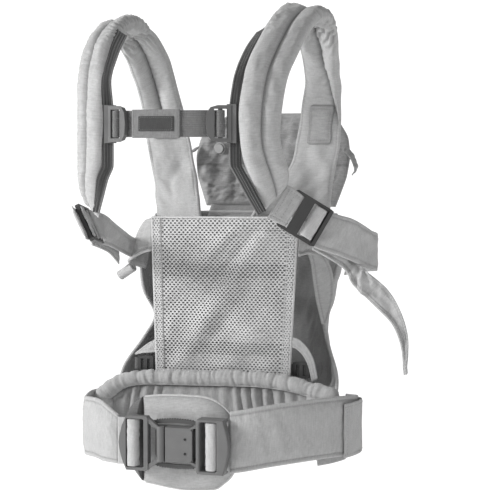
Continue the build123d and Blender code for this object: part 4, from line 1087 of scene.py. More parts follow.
def make_chest():
    mid = [(-30, -118.2, 0), (-15, -119.2, 0), (0, -119.5, 0), (15, -119.2, 0), (30, -118.2, 0)]
    path = web_path(-1) + [np.array(p, float) for p in mid] + web_path(1)[::-1]
    p = [(q[0], q[1], CZ) for q in path]
    st = ribbon_strip(p, (0, 0, 1), 25, step=0.9, nq=26, away=(0, 0, CZ))
    h = flat(st, 1.5, 0.8) + 0.10 * np.cos(2 * np.pi * st["Q"] * st["Wd"] / 1.7) * smooth(edge_d(st)[0], 0.8, 2)
    slab("chest_webbing_band", st, h, flat(st, 1.5, 0.8), WEB, repl=["chest_webbing"], slot="dark_webbing", body="chest_strap")
    p = [(-33.5, -119.9, CZ), (-20, -120.9, CZ), (-5, -121.4, CZ), (8, -121.4, CZ), (15, -121.2, CZ)]
    st = ribbon_strip(p, (0, 0, 1), 26.6, step=0.9, nq=26, away=(0, 0, CZ))
    h = flat(st, 2.0, 0.9) + 0.12 * field(st["S"], st["Q"] * st["Wd"], 10, 10, 301)
    slab("chest_sleeve_cloth", st, h, flat(st, 1.8, 0.9), SLEEVE, repl=["chest_sleeve"], slot="dark_webbing", body="chest_strap")
    stitches("chest_sleeve_stitch", [across(st, 2.2, 0.04, 0.96, 0.02), across(st, st["L"] - 2.4, 0.04, 0.96, 0.02)], THREAD_DARK, pitch=2.4, length=1.7, r=0.26, body="chest_strap", slot="dark_webbing")
    p = [(-26.5, -122.0, CZ), (-12, -122.7, CZ), (9, -122.9, CZ)]
    st = ribbon_strip(p, (0, 0, 1), 13.8, step=0.7, nq=20, away=(0, 0, CZ))
    h = flat(st, 1.1, 0.5) + 0.12 * bump(edge_d(st)[0], 0.9, 0.4)
    slab("chest_label_cloth", st, h, flat(st, 0.9, 0.5), LABEL, repl=["chest_label"], slot="label_fabric", body="chest_strap")
    L, w = st["L"], 13.8
    stitches("chest_label_stitch", [line_at(st, 0.08, 0.0, s0=1, s1=L - 1), line_at(st, 0.92, 0.0, s0=1, s1=L - 1), across(st, 1.1, 0.08, 0.92, 0.0), across(st, L - 1.1, 0.08, 0.92, 0.0)], THREAD_DARK, pitch=1.9, length=1.3, r=0.2, body="chest_strap", slot="label_fabric")


make_chest()

# =====================================================================
# Adjusters' cloth: tabs, turned webbing, side webbing and tails
# =====================================================================
AR_O, AR_H = vec(117, -57, 214.5), unit((0.86, 0.5, 0))
AR_D = unit(AR_H * math.cos(math.radians(31)) + vec(0, 0, -1) * math.sin(math.radians(31)))
AR_N = unit((0.5, -0.86, 0))
AR_W = np.cross(AR_N, AR_D)
AL_O = vec(-108, -50, 204.5)
AL_D = unit((-0.12, 0.978, -0.171))
AL_N = unit(np.cross(AL_D, np.cross(unit((-0.886, -0.047, -0.462)), AL_D)))
AL_W = np.cross(AL_N, AL_D)


def tab_path(o, d, n, length, start):
    s = o - d * (length / 2 - 7.6)
    return [start, (np.array(start) + (s - d * 7 + n * 3.4)) / 2 + n * 0.6, s - d * 6.5 + n * 3.6, s - d * 2.2 + n * 3.4, s + d * 0.3 + n * 0.2, s - d * 1.2 - n * 3.4, s - d * 8 - n * 3.6]


BLENDS = []


def make_adjusters():
    st = ribbon_strip(tab_path(AR_O, AR_D, AR_N, 42, AR_O - AR_D * 32 + AR_N * 2.5), AR_W, [37, 32], step=0.9, nq=26, away=AR_O)
    o = slab("adjuster_tab_right_cloth", st, hemmed(st, 1.8, 401), hemmed(st, 1.6, 402), HEATHER, repl=["adjuster_tab_right"], slot="heather_fabric")
    s = stitches("adjuster_tab_right_stitch", [line_at(st, 3.2 / 34, 0.02, s1=18), line_at(st, 1 - 3.2 / 34, 0.02, s1=18), across(st, 5, 0.1, 0.9, 0.02), across(st, 11, 0.1, 0.9, 0.02)], slot="heather_fabric")
    st = ribbon_strip(tab_path(AL_O, AL_D, AL_N, 40, AL_O - AL_D * 29 + AL_N * 2.5), AL_W, [36, 32], step=0.9, nq=26, away=AL_O)
    slab("adjuster_tab_left_cloth", st, hemmed(st, 1.8, 403), hemmed(st, 1.6, 404), HEATHER, repl=["adjuster_tab_left"], slot="heather_fabric")
    for side, o_, d_, n_, w_, L in (("right", AR_O, AR_D, AR_N, AR_W, 42), ("left", AL_O, AL_D, AL_N, AL_W, 40)):
        u0, u1 = 0.10 * L, 0.5 * L - 6.4
        c, a = o_ + d_ * (u0 + u1) / 2, (u1 - u0) / 2
        pth = [c - d_ * a * 0.9 - n_ * 3.0, c - d_ * a + n_ * 0.4, c - d_ * (a - 0.6) + n_ * 3.8, c - d_ * a * 0.4 + n_ * 5.2, c + d_ * a * 0.4 + n_ * 5.2, c + d_ * (a - 0.6) + n_ * 3.8, c + d_ * a + n_ * 0.4, c + d_ * a * 0.9 - n_ * 3.0]
        st = ribbon_strip(pth, w_, 32, step=0.7, nq=26, away=c)
        h = 0.95 * dome(edge_d(st)[0], 0.9) * dome(edge_d(st)[1] + 0.05, 0.9) + 0.14 * field(st["S"], st["Q"] * st["Wd"], 8, 9, 411)
        slab(f"webbing_fold_{side}_cloth", st, h, h, LIGHT, repl=[f"webbing_fold_{side}"], slot="heather_fabric", body=f"adjuster_{side}")

    side_r = [AR_O + AR_D * 5.6 - AR_N * 3.9, AR_O + AR_D * 24 - AR_N * 4.6, (150.5, -33, 195.5), (160, -16, 188.5), (165.8, 5, 181.5), (166.8, 27, 178), (158.5, 46, 176), (143, 58, 173.5), (125, 69.5, 169)]
    wd_r = [AR_W, AR_W, (0.28, 0.18, 0.95), (0.14, 0.1, 1), (0.03, 0.05, 1), (0, 0, 1), (0.05, -0.05, 1), (0.1, -0.1, 1), (0.12, -0.12, 1)]
    st = ribbon_strip(side_r, wd_r, 38, step=1.4, nq=36, away=(90, 20, 190))
    d, e = edge_d(st)
    h = hemmed(st, 2.8, 421, 0.5, 4.0)
    # painted shade along the hem grooves
    slab("side_webbing_right_cloth", st, h, hemmed(st, 2.6, 422, 0.3, 4.0), HEATHER, repl=["side_webbing_right"], slot="heather_fabric", seam=0.4 * bump(d, 4.0, 0.8))
    stitches("side_webbing_right_stitch", [line_at(st, 4.0 / 38, 0.02), line_at(st, 1 - 4.0 / 38, 0.02)], slot="heather_fabric")
    side_l = [AL_O + AL_D * 5.2 - AL_N * 3.9, AL_O + AL_D * 24 - AL_N * 4.2, (-108.5, -10, 196.5), (-108.6, 13, 190), (-108.6, 36, 183), (-108.5, 58, 176.5), (-104, 74, 172)]
    wd_l = [-AL_W, -AL_W, (0.35, 0.05, 1), (0.30, 0.05, 1), (0.34, 0.05, 1), (0.4, 0, 1), (0.4, 0, 1)]
    st = ribbon_strip(side_l, wd_l, [32, 30, 24, 21, 21], step=1.4, nq=32, away=(-200, 0, 190), flip=True)
    d, e = edge_d(st)
    # painted shade along the hem grooves
    slab("side_webbing_left_cloth", st, hemmed(st, 2.8, 431, 0.5, 3.6), hemmed(st, 2.6, 432, 0.3, 3.6), HEATHER, repl=["side_webbing_left"], slot="heather_fabric", seam=0.4 * bump(d, 3.6, 0.8))
    stitches("side_webbing_left_stitch", [line_at(st, 0.1, 0.02), line_at(st, 0.9, 0.02)], slot="heather_fabric")

    # free tail of the right webbing: folded strap whose lower edge is a thick rolled hem
    tail_lo = [(120.5, -40, 184.5), (135.8, -31, 174.3), (148.6, -22, 163.4), (156.5, -18, 148), (175.1, -12, 129.1), (193.1, -8, 109.8), (201.2, -6, 85.6), (203.6, -5, 61.5)]
    tail_hi = [(137, -31, 190), (146, -24, 181), (153.5, -12.5, 173), (170, -18, 161), (187.4, -10, 143.8), (201.2, -8, 119.8), (207.0, -6, 93.6), (206.6, -9, 62.5)]
    st = strip(tail_lo, tail_hi, step=1.2, nq=34, away=(100, 60, 120))
    S, x = st["S"], st["Q"] * st["Wd"]
    d, e = edge_d(st)
    L = st["L"]
    # twist folds near the top, then long soft folds
    fz = bump(S, 52, 18)
    cup = -2.4 * np.sin(np.pi * st["Q"]) * smooth(S, 40, 75) * smooth(L - S, 0, 40)
    g = 1.7 * np.sin(2 * np.pi * (x * 0.5 + S * 0.6) / 8.5 + field(S, x, 30, 20, 441)) * fz + 0.7 * field(S, x, 26, 14, 442)
    st["P"] = st["P"] + st["N"][:, None] * (cup + g * smooth(e, 0, 8))[..., None]
    h = hemmed(st, 2.6, 443, 0.25, 3.2)
    # painted shade along the hem grooves
    slab("tail_right_cloth", st, h, h * 0.9, HEATHER, repl=["tail_right"], slot="heather_fabric", seam=0.4 * bump(d, 3.2, 0.8))
    stitches("tail_right_stitch", [line_at(st, 0.12, 0.02), line_at(st, 0.88, 0.02)], slot="heather_fabric")
    p, n = line_at(st, 0.0, 0.0)
    tube("tail_right_hem", p + n * 0.2, 1.3, HEATHER_OBJ, step=1.6, ring=9, slot="heather_fabric")

    tail_l = [AL_O + AL_D * 18 + AL_N * 9.0 + AL_W * 8, (-117, -16, 189), (-117, 8, 183), (-117, 26, 176.5), (-115, 43, 164.5)]
    wt_l = [-AL_W, (0.3, 0.1, 1), (0.2, 0.05, 1), (0.1, 0, 1), (0, 0, 1)]
    st = ribbon_strip(tail_l, wt_l, [17, 16, 14, 13], step=1.3, nq=22, away=(-200, 0, 170), flip=True)
    slab("tail_left_cloth", st, hemmed(st, 2.2, 451, 0.3, 2.6), hemmed(st, 2.2, 452, 0.2, 2.6), HEATHER, repl=["tail_left"], slot="heather_fabric")
    # rolled end of the left tail: a spiral of webbing
    c = vec(-109.5, 50, 151)
    R = Matrix.Rotation(math.radians(-8), 3, "Z") @ Matrix.Rotation(math.radians(58), 3, "Y")
    ax = np.array(R @ Vector((0, 0, 1)))
    ex = np.array(R @ Vector((1, 0, 0)))
    ey = np.array(R @ Vector((0, 1, 0)))
    th = np.linspace(0, 2 * np.pi * 2.35, 120)
    rr = 1.7 + (5.3 - 1.7) * th / th[-1]
    mid = c + rr[:, None] * (np.cos(th)[:, None] * ex + np.sin(th)[:, None] * ey)
    st = strip_pts(mid - ax * 9.6, mid + ax * 9.6, nq=18, away=c)
    h = flat(st, 1.5, 0.7) + 0.08 * field(st["S"], st["Q"] * st["Wd"], 10, 8, 455)
    slab("tail_roll_left_cloth", st, h, h, HEATHER, repl=["tail_roll_left"], slot="heather_fabric")


make_adjusters()

# =====================================================================
# Mesh panel with real holes
# =====================================================================
TL, TR, BL, BR = vec(-77, 40, 208.5), vec(82, 40, 210), vec(-74, 46, 37), vec(71, 46, 37)


def mp(u, v):
    u, v = np.asarray(u, float)[..., None], np.asarray(v, float)[..., None]
    return (TL * (1 - u) + TR * u) * (1 - v) + (BL * (1 - u) + BR * u) * v


def mesh_fold(u, v):
    """Displacement of the hanging mesh towards the wearer (mm): slack diagonal folds."""
    x, z = u * 148, v * 176
    g = np.zeros(np.broadcast(x, z).shape)
    # each fold: a line through (x0, z0) with a slope, and its width and height
    for x0, z0, ang, w, a, c, l in ((70, 30, 52, 6.5, 2.6, 0, 46), (92, 34, 54, 7, -2.4, 0, 52), (52, 58, 50, 8, -1.8, 0, 50), (108, 30, 56, 7, 1.9, 0, 44), (64, 96, 52, 9, 2.2, 0, 54),
                                   (84, 100, 54, 8, -1.9, 0, 50), (46, 130, 56, 8, 1.3, 0, 38), (110, 110, 58, 10, 1.1, 0, 50), (30, 88, 62, 8, 1.2, 0, 46), (126, 70, 66, 8, -1.0, 0, 50)):
        t = math.radians(ang)
        du, dv = -math.cos(t), math.sin(t)
        ax = (x - x0) * du + (z - z0) * dv
        pr = (x - x0) * dv - (z - z0) * du
        g = g + a * np.exp(-(pr / w) ** 2) * np.exp(-(ax / l) ** 4)
    g = g + 0.6 * field(x, z, 60, 60, 501)
    e = np.minimum(np.minimum(u, 1 - u) * 148, np.minimum(v, 1 - v) * 176)
    return 1.5 * g * smooth(e, 2, 22)


def make_mesh():
    N = unit(np.cross(TR - TL, BL - TL))
    if N[1] > 0:
        N = -N          # towards the wearer
    W, H = 152.0, 172.0

    def build(name, u0, u1, cw, ch, hole, mat, repl, off=0.0, t=1.1, slot="mesh_fabric"):
        x0, x1 = u0 * W, u1 * W
        nx = int(round((x1 - x0) / cw))
        nz = int(round(H / ch))
        cw, chh = (x1 - x0) / nx, H / nz
        V, F, key = [], [], {}

        def vid(x, z):
            k = (round(x * 1000), round(z * 1000))
            if k not in key:
                key[k] = len(V)
                V.append((x, z))
            return key[k]

        for r in range(nz):
            z0 = r * chh
            if r % 2 == 0:
                cells = [(x0 + i * cw, cw, True) for i in range(nx)]
            else:
                cells = [(x0, cw / 2, False)] + [(x0 + cw / 2 + i * cw, cw, True) for i in range(nx - 1)] + [(x1 - cw / 2, cw / 2, False)]
            for cx, w, has in cells:
                if not has:
                    F.append((vid(cx, z0), vid(cx + w, z0), vid(cx + w, z0 + chh), vid(cx, z0 + chh)))
                    continue
                xm, zm = cx + w / 2, z0 + chh / 2
                outer = [vid(cx, z0), vid(xm, z0), vid(cx + w, z0), vid(cx + w, zm), vid(cx + w, z0 + chh), vid(xm, z0 + chh), vid(cx, z0 + chh), vid(cx, zm)]
                zc = zm / H
                big = 1.0 + 0.16 * (0.28 < zc < 0.36 or 0.755 < zc < 0.83)
                hw, hh = hole[0] / 2 * big, hole[1] / 2 * big
                inner = []
                for a in (225, 270, 315, 0, 45, 90, 135, 180):
                    ca, sa = math.cos(math.radians(a)), math.sin(math.radians(a))
                    inner.append(len(V))
                    V.append((xm + ca * hw, zm + sa * hh))
                for k in range(8):
                    F.append((outer[k], outer[(k + 1) % 8], inner[(k + 1) % 8], inner[k]))
        V = np.array(V)
        u, v = V[:, 0] / W, V[:, 1] / H
        P = mp(u, v) + N * (mesh_fold(u, v) + off)[:, None]
        o = add(name, P, F, mat, repl=repl, slot=slot, uv=V, fix=False)
        md = o.modifiers.new("s", "SOLIDIFY")
        md.thickness = t * 0.001
        md.offset = 0
        md.use_even_offset = False
        applied(o)
        bm = bmesh.new()
        bm.from_mesh(o.data)
        bmesh.ops.recalc_face_normals(bm, faces=bm.faces)
        bm.to_mesh(o.data)
        bm.free()
        o.data.polygons.foreach_set("use_smooth", [True] * len(o.data.polygons))
        o.data.set_sharp_from_angle(angle=math.radians(50))
        return o

    main = build("mesh_panel_net", 0.060, 0.940, 4.4, 2.375, (2.75, 1.95), MESHMAT, ["mesh_panel"], off=-1.2)
    build("mesh_side_band_left_net", 0.0, 0.0605, 3.3, 2.4, (1.65, 1.35), MESHMAT, ["mesh_side_band_left"], off=-0.3, t=1.2)
    build("mesh_side_band_right_net", 0.9395, 1.0, 3.3, 2.4, (1.65, 1.35), MESHMAT, ["mesh_side_band_right"], off=-0.3, t=1.2)

    # cloth layers sewn behind the mesh: side bands, top hem, strap ends and lower hem
    def back(name, u0, u1, v0, v1, off, t, mat, repl=(), slot="mesh_fabric"):
        n, m = max(6, int((v1 - v0) * H / 3)), max(6, int((u1 - u0) * W / 3))
        v, u = np.meshgrid(np.linspace(v0, v1, n), np.linspace(u0, u1, m), indexing="ij")
        P = mp(u, v) + N * (mesh_fold(u, v) + off)[..., None]
        F_ = P + N * t / 2
        B_ = P - N * t / 2
        vv, f = shell(F_, B_)
        uv = np.stack([u * W, v * H], -1).reshape(-1, 2)
        o = add(name, vv, f, mat, repl=repl, slot=slot, uv=np.vstack([uv, uv]))
        return o

    # two bands behind the mesh in the darker inside cloth, painted shade seen through the holes
    back("mesh_inner_band_upper", 0.07, 0.93, 0.285, 0.352, -4.2, 0.7, INSIDE_SHADED)
    back("mesh_inner_band_lower", 0.07, 0.93, 0.755, 0.828, -4.2, 0.7, INSIDE_SHADED)
    back("mesh_band_backing_left", 0.004, 0.056, 0.004, 0.996, -1.9, 0.7, MESHBACK)
    back("mesh_band_backing_right", 0.944, 0.996, 0.004, 0.996, -1.9, 0.7, MESHBACK)
    back("mesh_top_backing", 0.06, 0.94, 0.006, 0.085, -2.7, 0.6, MESHBACK)
    back("mesh_low_backing", 0.06, 0.94, 0.90, 0.99, -2.7, 0.6, MESHBACK)
    back("strap_end_backing_left", 0.070, 0.335, 0.0, 0.12, -3.6, 0.9, MESHBACK)
    back("strap_end_backing_right", 0.63, 0.90, 0.0, 0.085, -3.6, 0.9, MESHBACK)
    # white care label sewn behind the lower middle of the mesh
    lb = back("inner_label_patch", 0.345, 0.66, 0.785, 0.905, -5.2, 0.6, PATCHWHITE, ["inner_label"], "label_fabric")
    # stitch lines: outer hem, band seams and sewn rectangles
    def line(pts, off=0.75, n=60):
        pts = np.asarray(pts, float)
        k = np.linspace(0, 1, len(pts))
        t = np.linspace(0, 1, n * (len(pts) - 1))
        u, v = np.interp(t, k, pts[:, 0]), np.interp(t, k, pts[:, 1])
        return mp(u, v) + N * (mesh_fold(u, v) + off)[:, None], np.repeat(N[None], len(t), 0)

    stitches("mesh_stitch_bands", [line([(0.055, 0.01), (0.055, 0.99)], 0.45), line([(0.066, 0.01), (0.066, 0.99)], -0.5), line([(0.945, 0.01), (0.945, 0.99)], 0.45), line([(0.934, 0.01), (0.934, 0.99)], -0.5),
                                    line([(0.012, 0.004), (0.012, 0.99)], 0.45), line([(0.988, 0.004), (0.988, 0.99)], 0.45)], THREAD, pitch=2.8, length=1.9, r=0.28, slot="mesh_fabric")
    stitches("mesh_stitch_boxes", [line([(0.01, 0.008), (0.99, 0.008)], -0.45), line([(0.075, 0.012), (0.075, 0.105), (0.33, 0.105), (0.33, 0.012)], -0.45), line([(0.635, 0.012), (0.635, 0.075), (0.895, 0.075), (0.895, 0.012)], -0.45)],
             THREAD, pitch=2.6, length=1.8, r=0.28, slot="mesh_fabric")
    # bound top and side edges
    t = np.linspace(0, 1, 60)
    tube("mesh_top_binding", mp(t, 0 * t) + N * (mesh_fold(t, 0 * t) - 1.0)[:, None], 1.15, MESHMAT, step=2, ring=10, slot="mesh_fabric")
    tube("mesh_left_binding", mp(0 * t, t) + N * (mesh_fold(0 * t, t) - 1.0)[:, None], 1.1, MESHMAT, step=2, ring=10, slot="mesh_fabric")
    tube("mesh_right_binding", mp(0 * t + 1, t) + N * (mesh_fold(0 * t + 1, t) - 1.0)[:, None], 1.1, MESHMAT, step=2, ring=10, slot="mesh_fabric")


make_mesh()

# =====================================================================
# Pouch, wings, gussets, seat adjusters' straps
# =====================================================================
ZL = [4, 26, 48, 75, 100, 130, 160, 188, 208]
HALF = {4: [(114, 46), (80, 49.5), (40, 51.0), (0, 52.0)],
        26: [(118, 52), (84, 66), (44, 74), (0, 76)],
        48: [(116, 62), (90, 90), (50, 108), (0, 113)],
        75: [(102, 82), (86, 120), (54, 142), (0, 149)],
        100: [(93, 96), (82, 140), (54, 168), (0, 177)],
        130: [(102, 84), (86, 150), (58, 186), (0, 196)],
        160: [(108, 93), (88, 158), (60, 197), (0, 208)],
        188: [(104, 104), (86, 168), (60, 203), (0, 213)],
        208: [(98.5, 114), (84, 178), (60, 206), (0, 214)]}


def make_pouch():
    grid = []
    for z in ZL:
        h = HALF[z]
        row = cat([(-p[0], p[1], z) for p in h] + [(p[0], p[1], z) for p in h[-2::-1]], 12)
        grid.append(at(row, np.linspace(0, 1, len(row)), np.linspace(0, 1, 25)))
    G = refine(grid, 110, 170)
    n, m, _ = G.shape
    du, dv = np.gradient(G, axis=0), np.gradient(G, axis=1)
    N = unit(np.cross(du, dv))
    if N[n // 2, m // 2, 1] < 0:
        N = -N
    u = np.repeat(np.linspace(0, 1, m)[None], n, 0)
    v = np.repeat(np.linspace(0, 1, n)[:, None], m, 1)
    e = np.minimum(u, 1 - u) * 420
    w = 1.6 * field(u * 420, v * 210, 50, 90, 601) + 0.7 * field(u * 420, v * 210, 18, 40, 602)
    # darts from the base
    for c in (0.14, 0.24, 0.76, 0.86):
        w = w - 2.2 * bump(u * 420 + 10 * v, c * 420 + 5, 3.0) * (1 - smooth(v, 0.25, 0.6))
    G = G + N * (w * smooth(e, 2, 25) * smooth(np.minimum(v, 1 - v) * 210, 0, 16))[..., None]
    o, F, B, Nn = grid_slab("pouch_outer_cloth", G, 3.0, 1, HEATHER, edge=1.6, repl=["outer_panel"], slot="heather_fabric")
    outward = F if (F[n // 2, m // 2, 1] > B[n // 2, m // 2, 1]) else B
    # the lining side gets the darker inside cloth: painted shade for the inside of the pouch
    o.data.materials.append(INSIDE_SHADED)
    nf = n * m
    first_out = B is outward
    for pl in o.data.polygons:
        ins = all((vi >= nf) == first_out for vi in pl.vertices)
        pl.material_index = 1 if ins else 0
    inward = B if outward is F else F
    sgn = 1 if outward is F else -1
    st_lines = [(outward[:, j] + 0 * N[:, j], N[:, j]) for j in (5, m - 6)] + [(outward[-4], N[-4])] + [(inward[:, j], -N[:, j]) for j in (5, m - 6)]
    stitches("pouch_stitch", st_lines, slot="heather_fabric")
    tube("pouch_edge_binding_left", G[:, 0] + N[:, 0] * 1.5, 1.9, HEATHER_OBJ, step=2, ring=10, slot="heather_fabric")
    tube("pouch_edge_binding_right", G[:, -1] + N[:, -1] * 1.5, 1.9, HEATHER_OBJ, step=2, ring=10, slot="heather_fabric")
    tube("pouch_top_binding", G[-1] + N[-1] * 1.5, 1.9, HEATHER_OBJ, step=2, ring=10, slot="heather_fabric")


make_pouch()


def make_wing(side):
    s = 1 if side == "right" else -1
    rows = []
    for f in np.linspace(0, 1, 9):
        xt, xm = (83.6, 82.4) if side == "right" else (78.6, 78.2)
        top = cat([(s * xt, 41.5, 208), (s * 91, 58, 205.5), (s * 97, 84, 204), (s * 97, 108, 204)])
        low = cat([(s * xm, 42.5, 175), (s * 96, 55, 170), (s * 117, 76, 159), (s * 104, 92, 152)] if side == "left" else [(s * xm, 42.5, 172), (s * 90, 54, 174), (s * 101, 68, 168), (s * 102, 90, 152)])
        k = np.linspace(0, 1, 9)
        a, b = at(top, np.linspace(0, 1, len(top)), k), at(low, np.linspace(0, 1, len(low)), k)
        bl = math.sin(math.pi * f) * 5 * np.sin(np.pi * k)
        rows.append(a * (1 - f) + b * f + np.stack([s * bl, -bl * 0.3, 0 * bl], 1))
    G = refine(rows, 48, 60)
    n, m, _ = G.shape
    u = np.repeat(np.linspace(0, 1, m)[None], n, 0)
    v = np.repeat(np.linspace(0, 1, n)[:, None], m, 1)
    N = unit(np.cross(np.gradient(G, axis=0), np.gradient(G, axis=1)))
    e = np.minimum(np.minimum(u, 1 - u) * 75, np.minimum(v, 1 - v) * 45)
    w = 1.1 * np.sin(2 * np.pi * (u * 75 + v * 18) / 21) * smooth(v, 0.0, 0.5) + 0.5 * field(u * 75, v * 45, 18, 24, 701)
    G = G + N * (w * smooth(e, 0, 9))[..., None]
    o, F, B, Nn = grid_slab(f"wing_{side}_cloth", G, 2.4, -s, HEATHER, edge=1.2, repl=[f"wing_{side}"], slot="heather_fabric")
    tube(f"wing_{side}_hem", G[-1] + 0 * G[-1], 1.9, HEATHER_OBJ, step=1.6, ring=10, slot="heather_fabric")
    stitches(f"wing_{side}_stitch", [(F[-5], Nn[-5]), (B[-5], -Nn[-5])], slot="heather_fabric")


for s in ("right", "left"):
    make_wing(s)


def make_gusset(side):
    s = 1 if side == "right" else -1
    if side == "right":
        e0 = [(74, 46.0, 88), (82.5, 46.0, 85), (91.5, 46.2, 76.5), (98, 46.3, 64), (102, 46.5, 46)]
        e1 = [(74, 46.0, 77), (79.5, 46.2, 75), (86.2, 46.2, 68.5), (91.5, 46.3, 58.4), (95.5, 46.5, 42)]
    else:
        e0 = [(-73.5, 46.8, 81.5), (-80, 48, 77.5), (-85.3, 50, 74.9), (-96.4, 55, 67.5), (-104.2, 60, 62.3)]
        e1 = [(-73.5, 46.8, 66), (-80, 48, 65.2), (-85.4, 50, 64.3), (-94, 54, 63), (-103, 59.5, 60.5)]
    st = strip(e0, e1, step=1.2, nq=20, away=(0, 200, 60))
    h = hemmed(st, 1.8, 721, 0.35, 2.6)
    slab(f"lower_gusset_{side}_cloth", st, h, hemmed(st, 1.8, 722, 0.2, 2.6), HEATHER, repl=[f"lower_gusset_{side}"], slot="heather_fabric")
    x0, y0 = (83.0, 52.8) if side == "right" else (-87.5, 50.6)
    st = ribbon_strip([(x0 - 13, y0, 53), (x0 - 4, y0, 53), (x0 + 4, y0, 53), (x0 + 13, y0, 53)], (0, 0, 1), 12, step=0.8, nq=14, away=(x0, 100, 53))
    slab(f"seat_strap_{side}_band", st, flat(st, 1.2, 0.6), flat(st, 1.2, 0.6), WEB, repl=[f"seat_strap_{side}"], slot="dark_webbing")


for s in ("right", "left"):
    make_gusset(s)


def make_crescent():
    """Folded-over edge of the pouch on the right: a light crescent of cloth below the wing."""
    o = [(86.5, 52, 190), (96.5, 59, 182), (105, 66, 169), (110.5, 73, 150), (109.6, 77, 124), (102.5, 79, 99)]
    i = [(83.5, 47, 181), (87.5, 53, 177), (91.0, 60, 164), (92.5, 66, 142), (94.2, 72, 121), (98.0, 78, 99)]
    st = strip(o, i, step=1.4, nq=24, away=(0, 200, 140))
    h = hemmed(st, 2.0, 731, 0.6, 2.6)
    # painted shade along the hem grooves
    slab("pouch_flap_right_cloth", st, h, hemmed(st, 1.8, 732, 0.2, 2.6), HEATHER, slot="heather_fabric", held="hung", seam=0.5 * bump(edge_d(st)[0], 2.6, 0.7))
    p, n = line_at(st, 1.0)
    tube("pouch_flap_right_hem", p, 1.3, HEATHER_OBJ, step=1.6, ring=8, slot="heather_fabric")


make_crescent()


# =====================================================================
# Head support
# =====================================================================
def HY(x, h):
    return 222.0 + 0.30 * h - (np.abs(x) / 91) ** 2 * (16 + 0.10 * h)


def HZ(h):
    return 215.0 + h * 0.985


BLEND = []


def make_head():
    nh, nx = 84, 120
    hs = 107 * (0.5 - 0.5 * np.cos(np.pi * np.linspace(0, 1, nh)))
    q = -np.cos(np.pi * np.linspace(0, 1, nx))
    wm = np.interp(hs, [0, 14, 34, 58, 80, 97, 106, 109], [76, 81, 88, 91, 87, 74, 57, 20])
    wm = np.convolve(np.pad(wm, 3, mode="edge"), np.ones(7) / 7, "valid")
    X = wm[:, None] * q[None]
    Hh = np.repeat(hs[:, None], nx, 1)
    Y = HY(X, Hh)
    Z = HZ(Hh)
    mid = np.stack([X, Y, Z], -1)
    du, dv = np.gradient(mid, axis=0), np.gradient(mid, axis=1)
    N = unit(np.cross(du, dv))
    if N[nh // 2, nx // 2, 1] > 0:
        N = -N        # towards the wearer
    d = np.minimum((1 - abs(q))[None] * wm[:, None], np.minimum(Hh, 107 - Hh))
    seam1 = bump(Hh, 44 + 3 * (X / 90) ** 2, 1.5)
    base = 6.4 * dome(d, 10)
    groove = 2.6 * np.exp(-(abs(Hh - 44 - 3 * (X / 90) ** 2) / 2.4) ** 1.5) + 2.0 * np.exp(-(abs(abs(X) - 46) / 2.2) ** 1.5) * (Hh < 44)
    wr = 1.5 * field(X, Hh, 34, 22, 801) + 0.8 * field(X, Hh, 13, 10, 802)
    hf = np.maximum(base - groove * smooth(d, 1, 8) + wr * smooth(d, 1, 9), 0.3)
    hb = np.maximum(base - 0.7 * groove * smooth(d, 1, 8) + 0.9 * field(X, Hh, 36, 26, 803) * smooth(d, 1, 9), 0.3)
    F = mid + N * hf[..., None]
    B = mid - N * hb[..., None]
    v, f = shell(F, B)
    uv = np.stack([X, Hh], -1).reshape(-1, 2)
    # painted shade along the seam groove across the head support
    painted_shade_mask = np.maximum(0.6 * seam1, 0)
    o = add("head_support_cover", v, f, HEAD, body="head_support", repl=["head_support"], slot="heather_fabric", uv=np.vstack([uv, uv]), seam=np.r_[painted_shade_mask.ravel(), painted_shade_mask.ravel() * 0.5])
    for side, s in (("right", 1), ("left", -1)):
        p = [(s * 86.5, HY(88, 60) - 9, HZ(66)), (s * 93, HY(91, 60) - 13, HZ(62)), (s * 99, HY(91, 60) - 15, HZ(54)), (s * 102, HY(91, 60) - 15, HZ(44)), (s * 98, HY(91, 60) - 12, HZ(38))]
        st = ribbon_strip(p, (0, 0.9, 0.3), 14, step=0.9, nq=16, away=(0, 220, 260))
        h = flat(st, 1.8, 0.8) + 0.3 * field(st["S"], st["Q"] * st["Wd"], 9, 9, 811)
        slab(f"head_strap_{side}_cloth", st, h, flat(st, 1.8, 0.8), HEAD, repl=[f"head_strap_{side}"], slot="heather_fabric", body="head_support")
    # cloth hinge between the pouch's top edge and the head support
    bx_ = np.linspace(-70, 70, 60)
    yp = np.interp(abs(bx_), [0, 60, 84], [214, 206, 178]) + 0.6
    lo_ = np.stack([bx_, yp, 0 * bx_ + 203.0], 1)
    hi_ = np.stack([bx_, HY(bx_, 6.0), 0 * bx_ + 222.0], 1)
    g_ = refine(np.array([lo_[::6], ((lo_ + hi_) / 2 + vec(0, 1.4, 0))[::6], hi_[::6]]), 22, 90)
    o, _, _, _ = grid_slab("head_support_hinge_cloth", g_, 2.2, 1, HEAD, edge=0.8, slot="heather_fabric")
    BLEND.append((o, "carrier", "head_support", (0, 0.222, 0.2065), (0, 0.222, 0.2195)))
    # snap rims: thin cloth ring under each snap cap
    for s in (-1, 1):
        a = np.linspace(0, 2 * np.pi, 40)
        x, h = s * 64, 66
        c = vec(x, HY(x, h) - 7.2, HZ(h))
        tube(f"snap_ring_{'left' if s < 0 else 'right'}", c + np.stack([6.4 * np.cos(a), 0 * a - 1.2, 6.4 * np.sin(a)], 1), 0.7, HEATHER_OBJ, step=1, ring=8, body="head_support", slot="heather_fabric")


make_head()

# =====================================================================
# Bodies: each piece is baked in place or attached to its body, and the CAD parts it replaces are hidden
# =====================================================================
# cloth by the shoulder adjusters, each with its body, the body's far end, then the frame's end; these pieces are only
# baked in place
def mm_(p):
    return tuple(float(x) * 0.001 for x in p)


